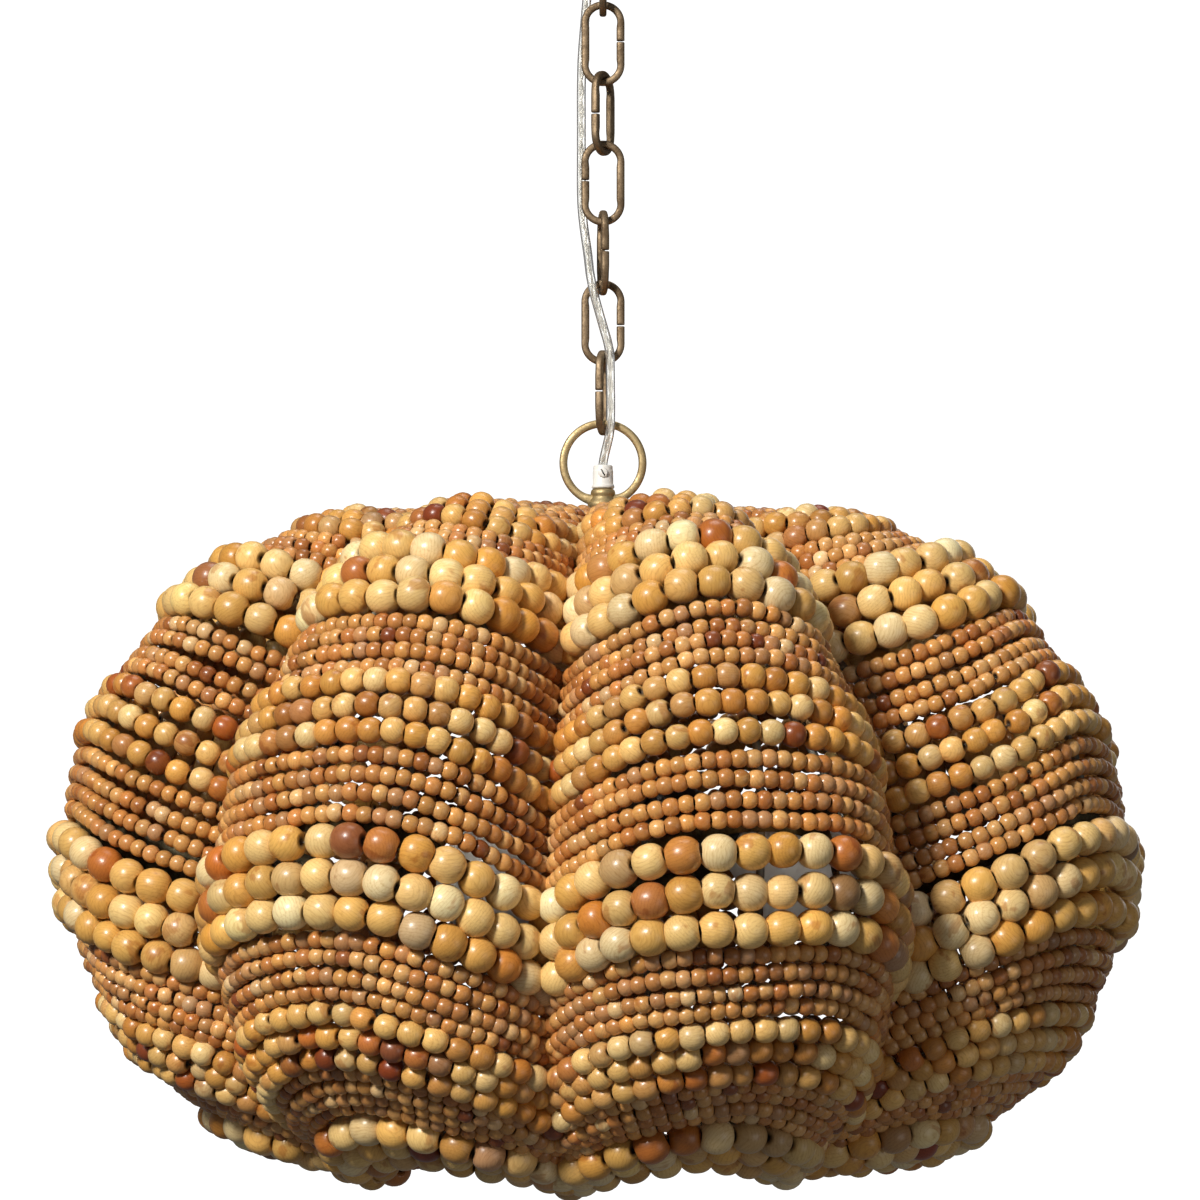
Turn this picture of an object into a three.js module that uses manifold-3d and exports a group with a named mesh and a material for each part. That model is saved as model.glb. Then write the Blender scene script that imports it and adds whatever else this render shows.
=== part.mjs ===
// Beaded chandelier. A wide lobed shade of wooden beads, strung row under row on a wire cage, hangs
// by its ring from a chain of oval links under a ceiling canopy, and a clear lamp cord winds down
// beside the chain into a grip in the ring. Millimetres, +Z up. The origin is the centre of the
// canopy's rim, on the ceiling, and the shade's front faces -Y.
import * as THREE from "three";
import { mergeVertices } from "three/addons/utils/BufferGeometryUtils.js";
import Module from "manifold-3d";

const wasm = await Module();
wasm.setup();

// Clearances
const seatGap = 0.3; // between pieces that seat on each other
const ribEndGap = 0.6; // between a rib's slanted cut end and the mouth's hoop
const cutOverrun = 1; // how far a cutting shape runs past the face that it opens

// Chain
const linkCount = 7;
const linkLength = 44.2;
const linkWidth = 22.4;
const linkWire = 3.8;
const linkTwists = [0, 0, -25, 0, 7, 0, -12]; // degrees about the chain, from the first link down

// Hanging ring of the shade, with its flared web and barrel collar
const ringDiameter = 45;
const ringWire = 4.2;
const ringCollarTopDiameter = 11;
const ringCollarBarrelDiameter = 12.8;
const ringCollarFlareDiameter = 17;
const ringCollarFootDiameter = 14;
const ringCollarHeight = 11.1;
const ringCollarFoot = 2; // how far the collar reaches below the ring

// Cord grip in the ring
const gripDiameter = 10.9;
const gripHeight = 12;
const gripFlangeDiameter = 11.8;
const gripFlangeHeight = 1.6;
const gripSpigotLength = 3;
const gripWall = 1.2; // round the spigot's seat
const gripBoreDepth = 10.2;
const gripScrewDiameter = 3.4;
const gripScrewStand = 0.8;
const gripScrewDrop = 4.2; // of the clamping screw below the grip's top

// Lamp cord
const cordDiameter = 4.8;

// Threaded tubes: the stem under the ring and the nipple in the canopy
const tubeDiameter = 8;
const tubeBore = 5.4;
const stemEngagement = 6; // how far the stem screws into the ring's collar
const nippleEngagement = 5; // how far the nipple screws into the loop's collar

// Canopy and its loop
const canopyDiameter = 127;
const canopyDepth = 28;
const canopyWall = 1.2;
const loopDiameter = 34;
const loopWire = 4;
const loopCollarDiameter = 15;
const loopCollarWaistDiameter = 12.6;
const loopCollarHeight = 10;
const loopCollarStand = 5.1; // of the collar above the loop's ring

// Crossbar, its screws and the nut under it
const crossbarLength = 102;
const crossbarWidth = 19;
const crossbarThickness = 2.5;
const crossbarSlotLength = 16;
const crossbarSlotWidth = 4.6;
const crossbarSlotMargin = 8; // from a slot's outer end to the bar's end
const boxScrewDiameter = 4;
const boxScrewHead = 8;
const boxScrewHeadHeight = 2.6;
const boxScrewReach = 10; // above the ceiling plane, into the box
const nutAcross = 14;
const nutHeight = 3.6;

// Beads
const smallBead = 8;
const mediumBead = 12.6;
const largeBead = 17.8;

// Cage that the strings of beads lie on: its crest line is the outline under a lobe's middle
const cageRadius = 269;
const cageRise = 181; // above the equator
const cageFall = 140; // below it
const lobeCount = 8;
const firstValleyAngle = -7; // degrees from the front towards +X
const lobeFullness = 3; // power of the lobe's rounding: more is squarer
const valleyDrop = 33; // how far the strings dip at the creases, where they dip most
const ribWire = 4;
const hoopHeight = 12;
const hoopThickness = 2;
const mouthHoopHeight = 8;
const mouthHoopThickness = 3;

// Hub of the cage
const hubDiameter = 50;
const hubPlate = 10;
const hubBossDiameter = 16;
const hubRise = 7; // of the boss's top above the crest line's start

// Lamp cluster
const clusterDiameter = 44;
const clusterHeight = 30;
const clusterAboveEquator = 52; // height of the cluster's middle
const clusterBossDiameter = 26;
const clusterBossReach = 26;
const socketCount = 3;
const socketTilt = 62; // degrees from straight down
const socketDiameter = 30;
const socketNeckDiameter = 20;
const socketLength = 50;
const socketShoulder = 12;
const bulbBaseDiameter = 25.4;
const bulbBaseLength = 38.5;
const bulbDiameter = 60;
const bulbLength = 108;

// The crest line, from the hub to the mouth: shares of the cage's radius and of its rise or fall
const crestShares = [
  [0.127, 0.99], [0.26, 0.986], [0.392, 0.978], [0.513, 0.952], [0.623, 0.9], [0.707, 0.826],
  [0.784, 0.735], [0.854, 0.637], [0.914, 0.517], [0.966, 0.388], [0.995, 0.252], [1, 0.112],
  [0.993, -0.032], [0.975, -0.243], [0.931, -0.418], [0.873, -0.597], [0.8, -0.745],
  [0.716, -0.854], [0.619, -0.942], [0.518, -0.99], [0.422, -1],
];
// Radius of the creases as a share of the crest's, at shares of the crest line
const valleyRadiusShares = [
  [0, 0.85], [0.1, 0.6], [0.2, 0.52], [0.33, 0.6], [0.45, 0.71], [0.58, 0.775], [0.72, 0.785],
  [0.85, 0.78], [1, 0.78],
];
// Dip of the strings at the creases as a share of the deepest, at shares of the crest line
const valleyDropShares = [
  [0, 0.1], [0.1, 0.24], [0.2, 0.5], [0.3, 0.73], [0.36, 0.88], [0.45, 1], [0.52, 0.94], [0.6, 0.76],
  [0.68, 0.6], [0.8, 0.42], [1, 0.18],
];
// Bands of rows from the hub to the mouth, by bead and number of rows
const bandPlan = [
  ["small", 10], ["medium", 3], ["small", 3], ["large", 3], ["small", 4], ["medium", 3], ["small", 4],
  ["large", 3], ["small", 4], ["medium", 3], ["small", 4], ["large", 3], ["small", 5],
];
const beadDiameters = { small: smallBead, medium: mediumBead, large: largeBead };
const rowPitchShares = { small: 1.14, medium: 1.04, large: 0.96 }; // of the bead's diameter
const ridgeShare = 0.97; // a row's ridge stands this share of a bead off the cage
const grooveShare = 0.6; // and the groove between two rows this share
const columnShares = [0, 0.14, 0.36, 0.64, 0.86]; // of a lobe, where the bands have their corners
const crestColumnShares = [0.36, 0.64]; // the two corners that a crest rib lies between
const hoopColumnShares = [0, ...crestColumnShares]; // of a lobe, where the hoops have their corners
const slopeStepShare = 0.01; // of the crest line, over which the surface's slope is taken
const hoopFromShare = 0.5; // the hoop runs over the first large beads below this share of the line

// The canopy's outline: shares of its radius and depth, from the rim to its middle
const canopyShares = [[1, 0], [0.93, 0.5], [0.56, 0.87]];
// The bulb's outline past its base: shares of its radius and length
const bulbShares = [[0.48, 0.4], [0.86, 0.56], [1, 0.73], [0.8, 0.92]];

// Facets round each kind of piece
const cordSides = 8;
const wireSides = 6;
const ribSides = 4;
const tubeSides = 12;
const hubSides = 16;
const canopySides = 20;
const lampSides = 9;
const linkArcSteps = 6;
const ringSteps = 20;
const loopSteps = 16;

// The cord's route from the grip up to the canopy's loop, chosen by hand
const cordRoute = [
  [0, 0, -346.4], [0, 0, -341.5], [0, 0, -336.4], [0.9, -1, -331.2], [2.3, -3, -325.6], [3.5, -4.6, -320],
  [3.9, -5.1, -313.5], [4, -5.1, -305], [3.9, -5.1, -296], [3.8, -5.1, -287], [3.5, -5.1, -279.5],
  [2.3, -5.1, -273], [0.3, -5.1, -266], [-1.8, -5.1, -258.5], [-3.9, -5.1, -251], [-5.4, -5, -244.5],
  [-6.6, -3.6, -238], [-7.3, -1.2, -232], [-8, 1.4, -226], [-8.9, 3.6, -219.5], [-9.9, 5, -212],
  [-10.8, 5.2, -203], [-11.2, 5.2, -193], [-11.2, 5.2, -175], [-11.2, 5.2, -157], [-11.2, 5.2, -140],
  [-10.8, 5.2, -124], [-9.6, 5.2, -108], [-8.3, 5.2, -93], [-7.2, 5.2, -80], [-6.2, 5.2, -70],
  [-5, 5, -62], [-2.9, 3.5, -54.5], [-0.9, 1.2, -47.5], [0, 0, -41], [0, 0, -35],
];

const degrees = (angle) => THREE.MathUtils.degToRad(angle);

// Heights down the chain
const linkRadius = (linkWidth - linkWire) / 2;
const linkHalf = (linkLength - linkWire) / 2; // from a link's middle to its end wire's centre
const linkPitch = 2 * linkHalf - linkWire - seatGap;
const loopRadius = (loopDiameter - loopWire) / 2;
const loopCentre = -canopyDepth - seatGap - loopCollarStand - loopDiameter / 2;
const firstLinkCentre = loopCentre - loopRadius + (loopWire + linkWire) / 2 + seatGap - linkHalf;
const lastLinkCentre = firstLinkCentre - (linkCount - 1) * linkPitch;
const ringRadius = (ringDiameter - ringWire) / 2;
const ringCentre = lastLinkCentre - linkHalf + (linkWire + ringWire) / 2 + seatGap - ringRadius;
const ringCollarBottom = -ringDiameter / 2 - ringCollarFoot; // from the ring's centre

// A geometry's closed surface as a solid that can be joined and cut
function solidOf(geometry) {
  const bare = geometry.clone();
  bare.deleteAttribute("normal");
  bare.deleteAttribute("uv");
  const merged = mergeVertices(bare);
  return new wasm.Manifold(
    new wasm.Mesh({
      numProp: 3,
      vertProperties: merged.attributes.position.array,
      triVerts: new Uint32Array(merged.index.array),
    }),
  );
}

function geometryOf(solid) {
  const mesh = solid.getMesh();
  const position = new THREE.BufferAttribute(mesh.vertProperties, 3);
  return new THREE.BufferGeometry()
    .setAttribute("position", position)
    .setIndex(new THREE.BufferAttribute(mesh.triVerts, 1));
}

function joined(...geometries) {
  return geometryOf(geometries.map(solidOf).reduce((all, next) => all.add(next)));
}

function cut(geometry, ...tools) {
  return geometryOf(tools.map(solidOf).reduce((left, tool) => left.subtract(tool), solidOf(geometry)));
}

// Turns a surface's faces outwards if its enclosed volume comes out negative
function facedOut(geometry) {
  const corner = [0, 1, 2].map(() => new THREE.Vector3());
  const index = geometry.index.array;
  let volume = 0;
  for (let i = 0; i < index.length; i += 3) {
    corner.forEach((c, k) => c.fromBufferAttribute(geometry.attributes.position, index[i + k]));
    volume += corner[0].dot(corner[1].cross(corner[2]));
  }
  if (volume < 0) index.reverse();
  return geometry;
}

// A skin over a row of like sections. A closed row meets itself; an open one gets a cap at each end
function skinOver(sections, closed) {
  const size = sections[0].length;
  const index = [];
  for (let s = 0; s < sections.length - (closed ? 0 : 1); s++) {
    const here = s * size;
    const next = ((s + 1) % sections.length) * size;
    for (let i = 0; i < size; i++) {
      const j = (i + 1) % size;
      index.push(here + i, here + j, next + j, here + i, next + j, next + i);
    }
  }
  const last = (sections.length - 1) * size;
  for (let i = 2; i < size && !closed; i++) {
    index.push(0, i, i - 1, last, last + i - 1, last + i);
  }
  return facedOut(new THREE.BufferGeometry().setFromPoints(sections.flat()).setIndex(index));
}

// Round wire bent in one plane through the given points; an open wire is mitred at its bends
function bentWire(points, planeNormal, diameter, sides, closed) {
  const count = points.length;
  const sections = points.map((point, i) => {
    const before = closed ? points[(i + count - 1) % count] : points[Math.max(i - 1, 0)];
    const after = closed ? points[(i + 1) % count] : points[Math.min(i + 1, count - 1)];
    const arriving = (i || closed ? point.clone().sub(before) : after.clone().sub(point)).normalize();
    const leaving = (i < count - 1 || closed ? after.clone().sub(point) : point.clone().sub(before))
      .normalize();
    const tangent = arriving.clone().add(leaving).normalize();
    const side = new THREE.Vector3().crossVectors(planeNormal, tangent);
    const mitre = closed ? 1 : 1 / Math.sqrt((1 + arriving.dot(leaving)) / 2);
    return Array.from({ length: sides }, (_, k) => {
      const angle = (2 * Math.PI * k) / sides;
      return point.clone()
        .addScaledVector(side, (mitre * Math.cos(angle) * diameter) / 2)
        .addScaledVector(planeNormal, (Math.sin(angle) * diameter) / 2);
    });
  });
  return skinOver(sections, closed);
}

// A turned piece from its half outline [radius, height]; an outline off the axis closes on itself
function turned(outline, sides) {
  const points = outline.map(([radius, height]) => new THREE.Vector2(radius, height));
  if (outline[0][0] > 0) points.push(points[0].clone());
  const geometry = new THREE.LatheGeometry(points, sides).rotateX(Math.PI / 2);
  return facedOut(geometry);
}

// A turned tube between two heights
function tube(outerDiameter, boreDiameter, bottom, top, sides) {
  const outer = outerDiameter / 2;
  const bore = boreDiameter / 2;
  return turned([[bore, bottom], [outer, bottom], [outer, top], [bore, top]], sides);
}

function rod(diameter, bottom, top, sides) {
  return turned([[0, bottom], [diameter / 2, bottom], [diameter / 2, top], [0, top]], sides);
}

// Points of a circle, or of an oval with straight sides, standing in the XZ plane
function ovalPoints(radius, straight, arcSteps) {
  const arc = (from, lift) =>
    Array.from({ length: arcSteps + 1 }, (_, i) => {
      const angle = from + (Math.PI * i) / arcSteps;
      return new THREE.Vector3(radius * Math.cos(angle), 0, radius * Math.sin(angle) + lift);
    });
  const points = [...arc(0, straight / 2), ...arc(Math.PI, -straight / 2)];
  return straight > 0 ? points : points.filter((_, i) => i % (arcSteps + 1) < arcSteps);
}

const depthAxis = new THREE.Vector3(0, 1, 0);
const upAxis = new THREE.Vector3(0, 0, 1);

function wireRing(outerDiameter, wire, steps) {
  const points = ovalPoints((outerDiameter - wire) / 2, 0, steps / 2);
  return bentWire(points, depthAxis, wire, wireSides, true);
}

// Hexagon nut on the Z axis between two heights, with a clearance bore for a threaded tube
function hexNut(bottom, top) {
  const corners = nutAcross / Math.cos(Math.PI / 6);
  return cut(
    rod(corners, bottom, top, 6),
    rod(tubeDiameter + 2 * seatGap, bottom - cutOverrun, top + cutOverrun, tubeSides),
  );
}

// Chain link, standing in the XZ plane about its own middle
function chainLink() {
  const points = ovalPoints(linkRadius, 2 * (linkHalf - linkRadius), linkArcSteps);
  return bentWire(points, depthAxis, linkWire, wireSides, true);
}

// Hanging ring about its centre: the collar stands on the ring's lowest wire
function ringLoop() {
  const bottom = ringCollarBottom;
  const top = bottom + ringCollarHeight;
  const wireTop = -ringDiameter / 2 + ringWire;
  const collar = turned(
    [
      [0, bottom],
      [ringCollarFootDiameter / 2, bottom],
      [ringCollarFlareDiameter / 2, -ringRadius],
      [ringCollarBarrelDiameter / 2, wireTop + ringCollarFoot / 2],
      [ringCollarBarrelDiameter / 2, top - ringCollarFoot],
      [ringCollarTopDiameter / 2, top],
      [0, top],
    ],
    tubeSides,
  );
  const bore = rod(tubeDiameter + 2 * seatGap, bottom - cutOverrun, top + cutOverrun, tubeSides);
  return cut(joined(wireRing(ringDiameter, ringWire, ringSteps), collar), bore);
}

// Cord grip about the ring's centre, with a blind bore for the cord and a slotted clamping screw
function cordGrip() {
  const seat = ringCollarBottom + ringCollarHeight + seatGap;
  const top = seat + gripHeight;
  const spigot = tubeDiameter / 2 - seatGap / 2;
  const body = turned(
    [
      [0, seat - gripSpigotLength],
      [spigot, seat - gripSpigotLength],
      [spigot, seat],
      [gripFlangeDiameter / 2, seat],
      [gripFlangeDiameter / 2, seat + gripFlangeHeight],
      [gripDiameter / 2, seat + gripFlangeHeight],
      [gripDiameter / 2, top - gripWall / 2],
      [gripDiameter / 2 - gripWall / 2, top],
      [0, top],
    ],
    tubeSides,
  );
  const screw = rod(gripScrewDiameter, 0, gripDiameter / 2 + gripScrewStand, cordSides)
    .rotateX(Math.PI / 2)
    .translate(0, 0, top - gripScrewDrop);
  const bore = rod(cordDiameter + 2 * seatGap, top - gripBoreDepth, top + cutOverrun, tubeSides);
  return cut(joined(body, screw), bore);
}

// Canopy loop about its ring's centre: the collar stands on the ring's highest wire. The nipple
// screws into the collar's upper bore, and the cord goes up into the narrower lower one
function canopyLoop() {
  const top = loopDiameter / 2 + loopCollarStand;
  const bottom = top - loopCollarHeight;
  const waist = (top + bottom) / 2;
  const collar = turned(
    [
      [0, bottom],
      [loopCollarWaistDiameter / 2, bottom],
      [loopCollarDiameter / 2, waist - loopWire / 2],
      [loopCollarWaistDiameter / 2, waist + loopWire / 4],
      [loopCollarDiameter / 2, top - loopWire / 2],
      [loopCollarDiameter / 2, top],
      [0, top],
    ],
    tubeSides,
  );
  const threadBottom = top - nippleEngagement - seatGap;
  const thread = rod(tubeDiameter + 2 * seatGap, threadBottom, top + cutOverrun, tubeSides);
  const cordBore = rod(cordDiameter + 2 * seatGap, bottom - cutOverrun, top, tubeSides);
  return cut(joined(wireRing(loopDiameter, loopWire, loopSteps), collar), thread, cordBore);
}

// Spun canopy: an even shell from the rim on the ceiling to the nipple's hole
function canopy() {
  const radius = canopyDiameter / 2;
  const hole = tubeDiameter / 2 + seatGap;
  const outside = canopyShares.map(([r, z]) => [r * radius, -z * canopyDepth]);
  const inside = canopyShares.map(([r, z]) => [
    r * radius - canopyWall,
    Math.min(0, canopyWall - z * canopyDepth),
  ]);
  const outline = [...outside, [hole, -canopyDepth], [hole, canopyWall - canopyDepth]];
  return turned([...outline, ...inside.reverse()], canopySides);
}

// Each slot's middle from the crossbar's; the box screws go up there
const slotCentre = (crossbarLength - crossbarSlotLength) / 2 - crossbarSlotMargin;

// Crossbar: a strip with round ends, two slots and the nipple's hole, flush with the ceiling
function crossbar() {
  const stadium = (shape, centre, length, width) => {
    const half = (length - width) / 2;
    shape.absarc(centre + half, 0, width / 2, -Math.PI / 2, Math.PI / 2, false);
    shape.absarc(centre - half, 0, width / 2, Math.PI / 2, (3 * Math.PI) / 2, false);
    return shape;
  };
  const outline = stadium(new THREE.Shape(), 0, crossbarLength, crossbarWidth);
  const slot = (side) =>
    stadium(new THREE.Path(), side * slotCentre, crossbarSlotLength, crossbarSlotWidth);
  const hole = new THREE.Path().absarc(0, 0, tubeDiameter / 2 + seatGap, 0, 2 * Math.PI, false);
  outline.holes.push(slot(-1), slot(1), hole);
  const options = { depth: crossbarThickness, bevelEnabled: false, curveSegments: 5 };
  return new THREE.ExtrudeGeometry(outline, options).translate(0, 0, -crossbarThickness);
}

// Pan-head screw on the Z axis, up through the crossbar into the box
function boxScrew() {
  const seat = -crossbarThickness - seatGap;
  const head = boxScrewHead / 2;
  return turned(
    [
      [0, seat - boxScrewHeadHeight],
      [head / 2, seat - boxScrewHeadHeight],
      [head, seat - boxScrewHeadHeight / 2],
      [head, seat],
      [boxScrewDiameter / 2, seat],
      [boxScrewDiameter / 2, boxScrewReach],
      [0, boxScrewReach],
    ],
    cordSides,
  );
}

// The lamp cord's tube along its route
function lampCord() {
  const route = new THREE.CatmullRomCurve3(cordRoute.map((p) => new THREE.Vector3(...p)));
  const section = new THREE.Shape(
    Array.from({ length: cordSides }, (_, i) => {
      const angle = (2 * Math.PI * i) / cordSides;
      return new THREE.Vector2(Math.cos(angle), Math.sin(angle)).multiplyScalar(cordDiameter / 2);
    }),
  );
  const steps = Math.round(route.getLength() / (2 * cordDiameter));
  return new THREE.ExtrudeGeometry(section, { steps, extrudePath: route });
}

// Value at a share along a table of [share, value], straight between its rows
function fromShares(table, share) {
  const next = Math.max(1, table.findIndex(([at]) => at >= share));
  const [[fromShare, fromValue], [toShare, toValue]] = table.slice(next - 1, next + 1);
  return THREE.MathUtils.mapLinear(share, fromShare, toShare, fromValue, toValue);
}

const crestLine = new THREE.SplineCurve(
  crestShares.map(([r, z]) => new THREE.Vector2(r * cageRadius, z * (z > 0 ? cageRise : cageFall))),
);
const crestLength = crestLine.getLength();
const lobeAngle = (2 * Math.PI) / lobeCount;

// Bands with where they start and end, as shares of the crest line
const plannedLength = bandPlan.reduce(
  (sum, [bead, rows]) => sum + rows * beadDiameters[bead] * rowPitchShares[bead],
  0,
);
const bands = [];
for (const [bead, rows] of bandPlan) {
  const start = bands.length ? bands[bands.length - 1].end : 0;
  const length = (rows * beadDiameters[bead] * rowPitchShares[bead]) / plannedLength;
  bands.push({ bead, rows, start, end: start + length });
}
const bandEdges = [0, ...bands.map((band) => band.end)];

const radialAt = (turn) => {
  const angle = degrees(firstValleyAngle) + turn * lobeAngle;
  return new THREE.Vector3(Math.sin(angle), -Math.cos(angle), 0);
};

const sidewaysAt = (turn) => new THREE.Vector3().crossVectors(upAxis, radialAt(turn));

// Across a lobe: -1 at the valley on its left, 0 on the crest, 1 at the valley on its right
const acrossLobe = (turn) => 2 * (turn - Math.floor(turn)) - 1;

const lobeDepth = (share) => crestLine.getPointAt(share).x * (1 - fromShares(valleyRadiusShares, share));

// Radius and height of the cage's surface at a share along the crest line and a turn in lobes
function cageOutline(share, turn) {
  const across = acrossLobe(turn);
  const crest = crestLine.getPointAt(share);
  const dip = valleyDrop * fromShares(valleyDropShares, share) * across ** 2;
  return new THREE.Vector2(crest.x - lobeDepth(share) * Math.abs(across) ** lobeFullness, crest.y - dip);
}

// A point that stands off the cage's surface along its outward normal
function cagePoint(share, turn, standOff) {
  const at = THREE.MathUtils.clamp(share, 0, 1);
  const across = acrossLobe(turn);
  const place = cageOutline(at, turn);
  const along = cageOutline(Math.min(at + slopeStepShare, 1), turn)
    .sub(cageOutline(Math.max(at - slopeStepShare, 0), turn))
    .normalize();
  const steepness = -lobeFullness * Math.sign(across) * Math.abs(across) ** (lobeFullness - 1);
  const lean = across > -1 ? (lobeDepth(at) * steepness * 2) / lobeAngle : 0;
  const outward = radialAt(turn).multiplyScalar(place.x)
    .addScaledVector(sidewaysAt(turn), -lean)
    .normalize();
  return radialAt(turn).multiplyScalar(place.x)
    .addScaledVector(outward, -along.y * standOff)
    .addScaledVector(upAxis, place.y + along.x * standOff);
}

// Turns of the given columns in every lobe round the shade
const turnsOf = (shares) =>
  Array.from({ length: lobeCount }, (_, lobe) => shares.map((share) => lobe + share)).flat();

// Middle of the flat between the two columns beside a crest
function crestPoint(share, lobe, standOff) {
  const [left, right] = crestColumnShares.map((column) => cagePoint(share, lobe + column, standOff));
  return left.lerp(right, 0.5);
}

// A band of strung rows as one corrugated ring: flat on the cage, a ridge for each row of beads
// and a groove between two rows
function beadBand({ bead, rows, start, end }) {
  const diameter = beadDiameters[bead];
  const margin = seatGap / 2 / crestLength;
  const pitch = (end - start) / rows;
  const sections = turnsOf(columnShares).map((turn) => {
    const section = [cagePoint(start + margin, turn, 0)];
    for (let row = 0; row < rows; row++) {
      const middle = start + (row + 0.5) * pitch;
      if (row) section.push(cagePoint(start + row * pitch, turn, grooveShare * diameter));
      section.push(cagePoint(middle, turn, ridgeShare * diameter));
    }
    section.push(cagePoint(end - margin, turn, 0));
    return section;
  });
  return skinOver(sections, true);
}

// A rib follows the inside of the bands from the hub's rim to the mouth's hoop
function rib(pointAt, turn) {
  const points = bandEdges.map((share) => pointAt(share, -seatGap - ribWire / 2));
  const hubFlat = (hubDiameter / 2) * Math.cos(Math.PI / hubSides);
  const hubSeat = radialAt(turn).multiplyScalar(hubFlat + seatGap).setZ(points[0].z);
  return bentWire([hubSeat, ...points], sidewaysAt(turn), ribWire, ribSides, false);
}

const crestRib = (lobe) => rib((share, off) => crestPoint(share, lobe, off), lobe + 0.5);
const valleyRib = (lobe) => rib((share, off) => cagePoint(share, lobe, off), lobe);

// Flat strip inside all the ribs at the edge between the bands above and below the equator's rows
function equatorHoop() {
  const edge = bands.findIndex(({ bead, start }) => bead === "large" && start > hoopFromShare);
  const outer = -2 * seatGap - ribWire;
  const station = (turn, standOff, towards) => {
    const middle = cagePoint(bandEdges[edge], turn, standOff);
    const beyond = cagePoint(bandEdges[edge + towards], turn, standOff);
    return middle.lerp(beyond, hoopHeight / 2 / middle.distanceTo(beyond));
  };
  const sections = turnsOf(hoopColumnShares).map((turn) => [
    station(turn, outer, -1),
    cagePoint(bandEdges[edge], turn, outer),
    station(turn, outer, 1),
    station(turn, outer - hoopThickness, 1),
    cagePoint(bandEdges[edge], turn, outer - hoopThickness),
    station(turn, outer - hoopThickness, -1),
  ]);
  return skinOver(sections, true);
}

// Upright strip round the mouth, inside the ribs' cut ends. At a valley it bends round the rib's end
function bottomHoop() {
  const sections = turnsOf(hoopColumnShares).map((turn) => {
    const end = cagePoint(1, turn, -seatGap - ribWire / 2);
    const towardsAxis = radialAt(turn).negate();
    const clearance = acrossLobe(turn) > -1 ? ribEndGap : ribEndGap + ribWire / 2;
    const face = end.addScaledVector(towardsAxis, clearance);
    const back = face.clone().addScaledVector(towardsAxis, mouthHoopThickness);
    const up = new THREE.Vector3(0, 0, mouthHoopHeight / 2);
    return [face.clone().add(up), back.clone().add(up), back.clone().sub(up), face.clone().sub(up)];
  });
  return skinOver(sections, true);
}

const hubTop = crestLine.getPointAt(0).y + hubRise;
const plateTop = cagePoint(0, 0.5, -seatGap - ribWire / 2).z + hubPlate / 2;
const stemTop = hubTop + seatGap + stemEngagement;
const clusterTop = clusterAboveEquator + clusterHeight / 2;

// Turned hub: a plate whose flats face the ribs' ends, and a boss up to the ring's collar
function topHub() {
  const bore = tubeDiameter / 2 + seatGap;
  return turned(
    [
      [bore, plateTop - hubPlate],
      [hubDiameter / 2, plateTop - hubPlate],
      [hubDiameter / 2, plateTop],
      [hubBossDiameter / 2, plateTop],
      [hubBossDiameter / 2, hubTop],
      [bore, hubTop],
    ],
    hubSides,
  ).rotateZ(degrees(firstValleyAngle) + Math.PI / hubSides);
}

// The stem runs from the ring's collar through the hub into the cluster's neck
function stem() {
  return tube(tubeDiameter, tubeBore, clusterTop - stemEngagement, stemTop, tubeSides);
}

// Cluster body about its middle: turned, with a flat boss for each lampholder
function clusterBody() {
  const radius = clusterDiameter / 2;
  const half = clusterHeight / 2;
  const neck = tubeDiameter;
  const body = turned(
    [
      [0, -half], [radius / 2, -half], [radius, -half / 2], [radius, half / 2], [neck, half], [0, half],
    ],
    tubeSides,
  );
  const bosses = Array.from({ length: socketCount }, (_, i) =>
    aimed(rod(clusterBossDiameter, -clusterBossReach, 0, lampSides), i));
  const socketForStem = rod(
    tubeDiameter + 2 * seatGap,
    half - stemEngagement - seatGap,
    half + cutOverrun,
    tubeSides,
  );
  return cut(joined(body, ...bosses), socketForStem);
}

// Leans a piece that hangs straight down outwards, towards the numbered lampholder's place
function aimed(geometry, number) {
  return geometry.rotateY(-degrees(socketTilt)).rotateZ((2 * Math.PI * number) / socketCount);
}

// Lampholder hanging below its own seat: a necked shell, open below for the bulb's base
function lampholder() {
  const seat = -clusterBossReach - seatGap;
  const bore = bulbBaseDiameter / 2 + seatGap;
  const floor = seat - socketShoulder;
  return turned(
    [
      [0, seat],
      [socketNeckDiameter / 2, seat],
      [socketDiameter / 2, floor],
      [socketDiameter / 2, seat - socketLength],
      [bore, seat - socketLength],
      [bore, floor],
      [0, floor],
    ],
    lampSides,
  );
}

// Bulb seated in its lampholder
function bulb() {
  const tip = -clusterBossReach - socketShoulder - 2 * seatGap;
  const base = bulbBaseDiameter / 2;
  const glass = bulbShares.map(([r, along]) => [(r * bulbDiameter) / 2, tip - along * bulbLength]);
  return turned(
    [
      [0, tip],
      [base / 2, tip],
      [base, tip - base / 2],
      [base, tip - bulbBaseLength],
      ...glass,
      [0, tip - bulbLength],
    ],
    lampSides,
  );
}

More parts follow.
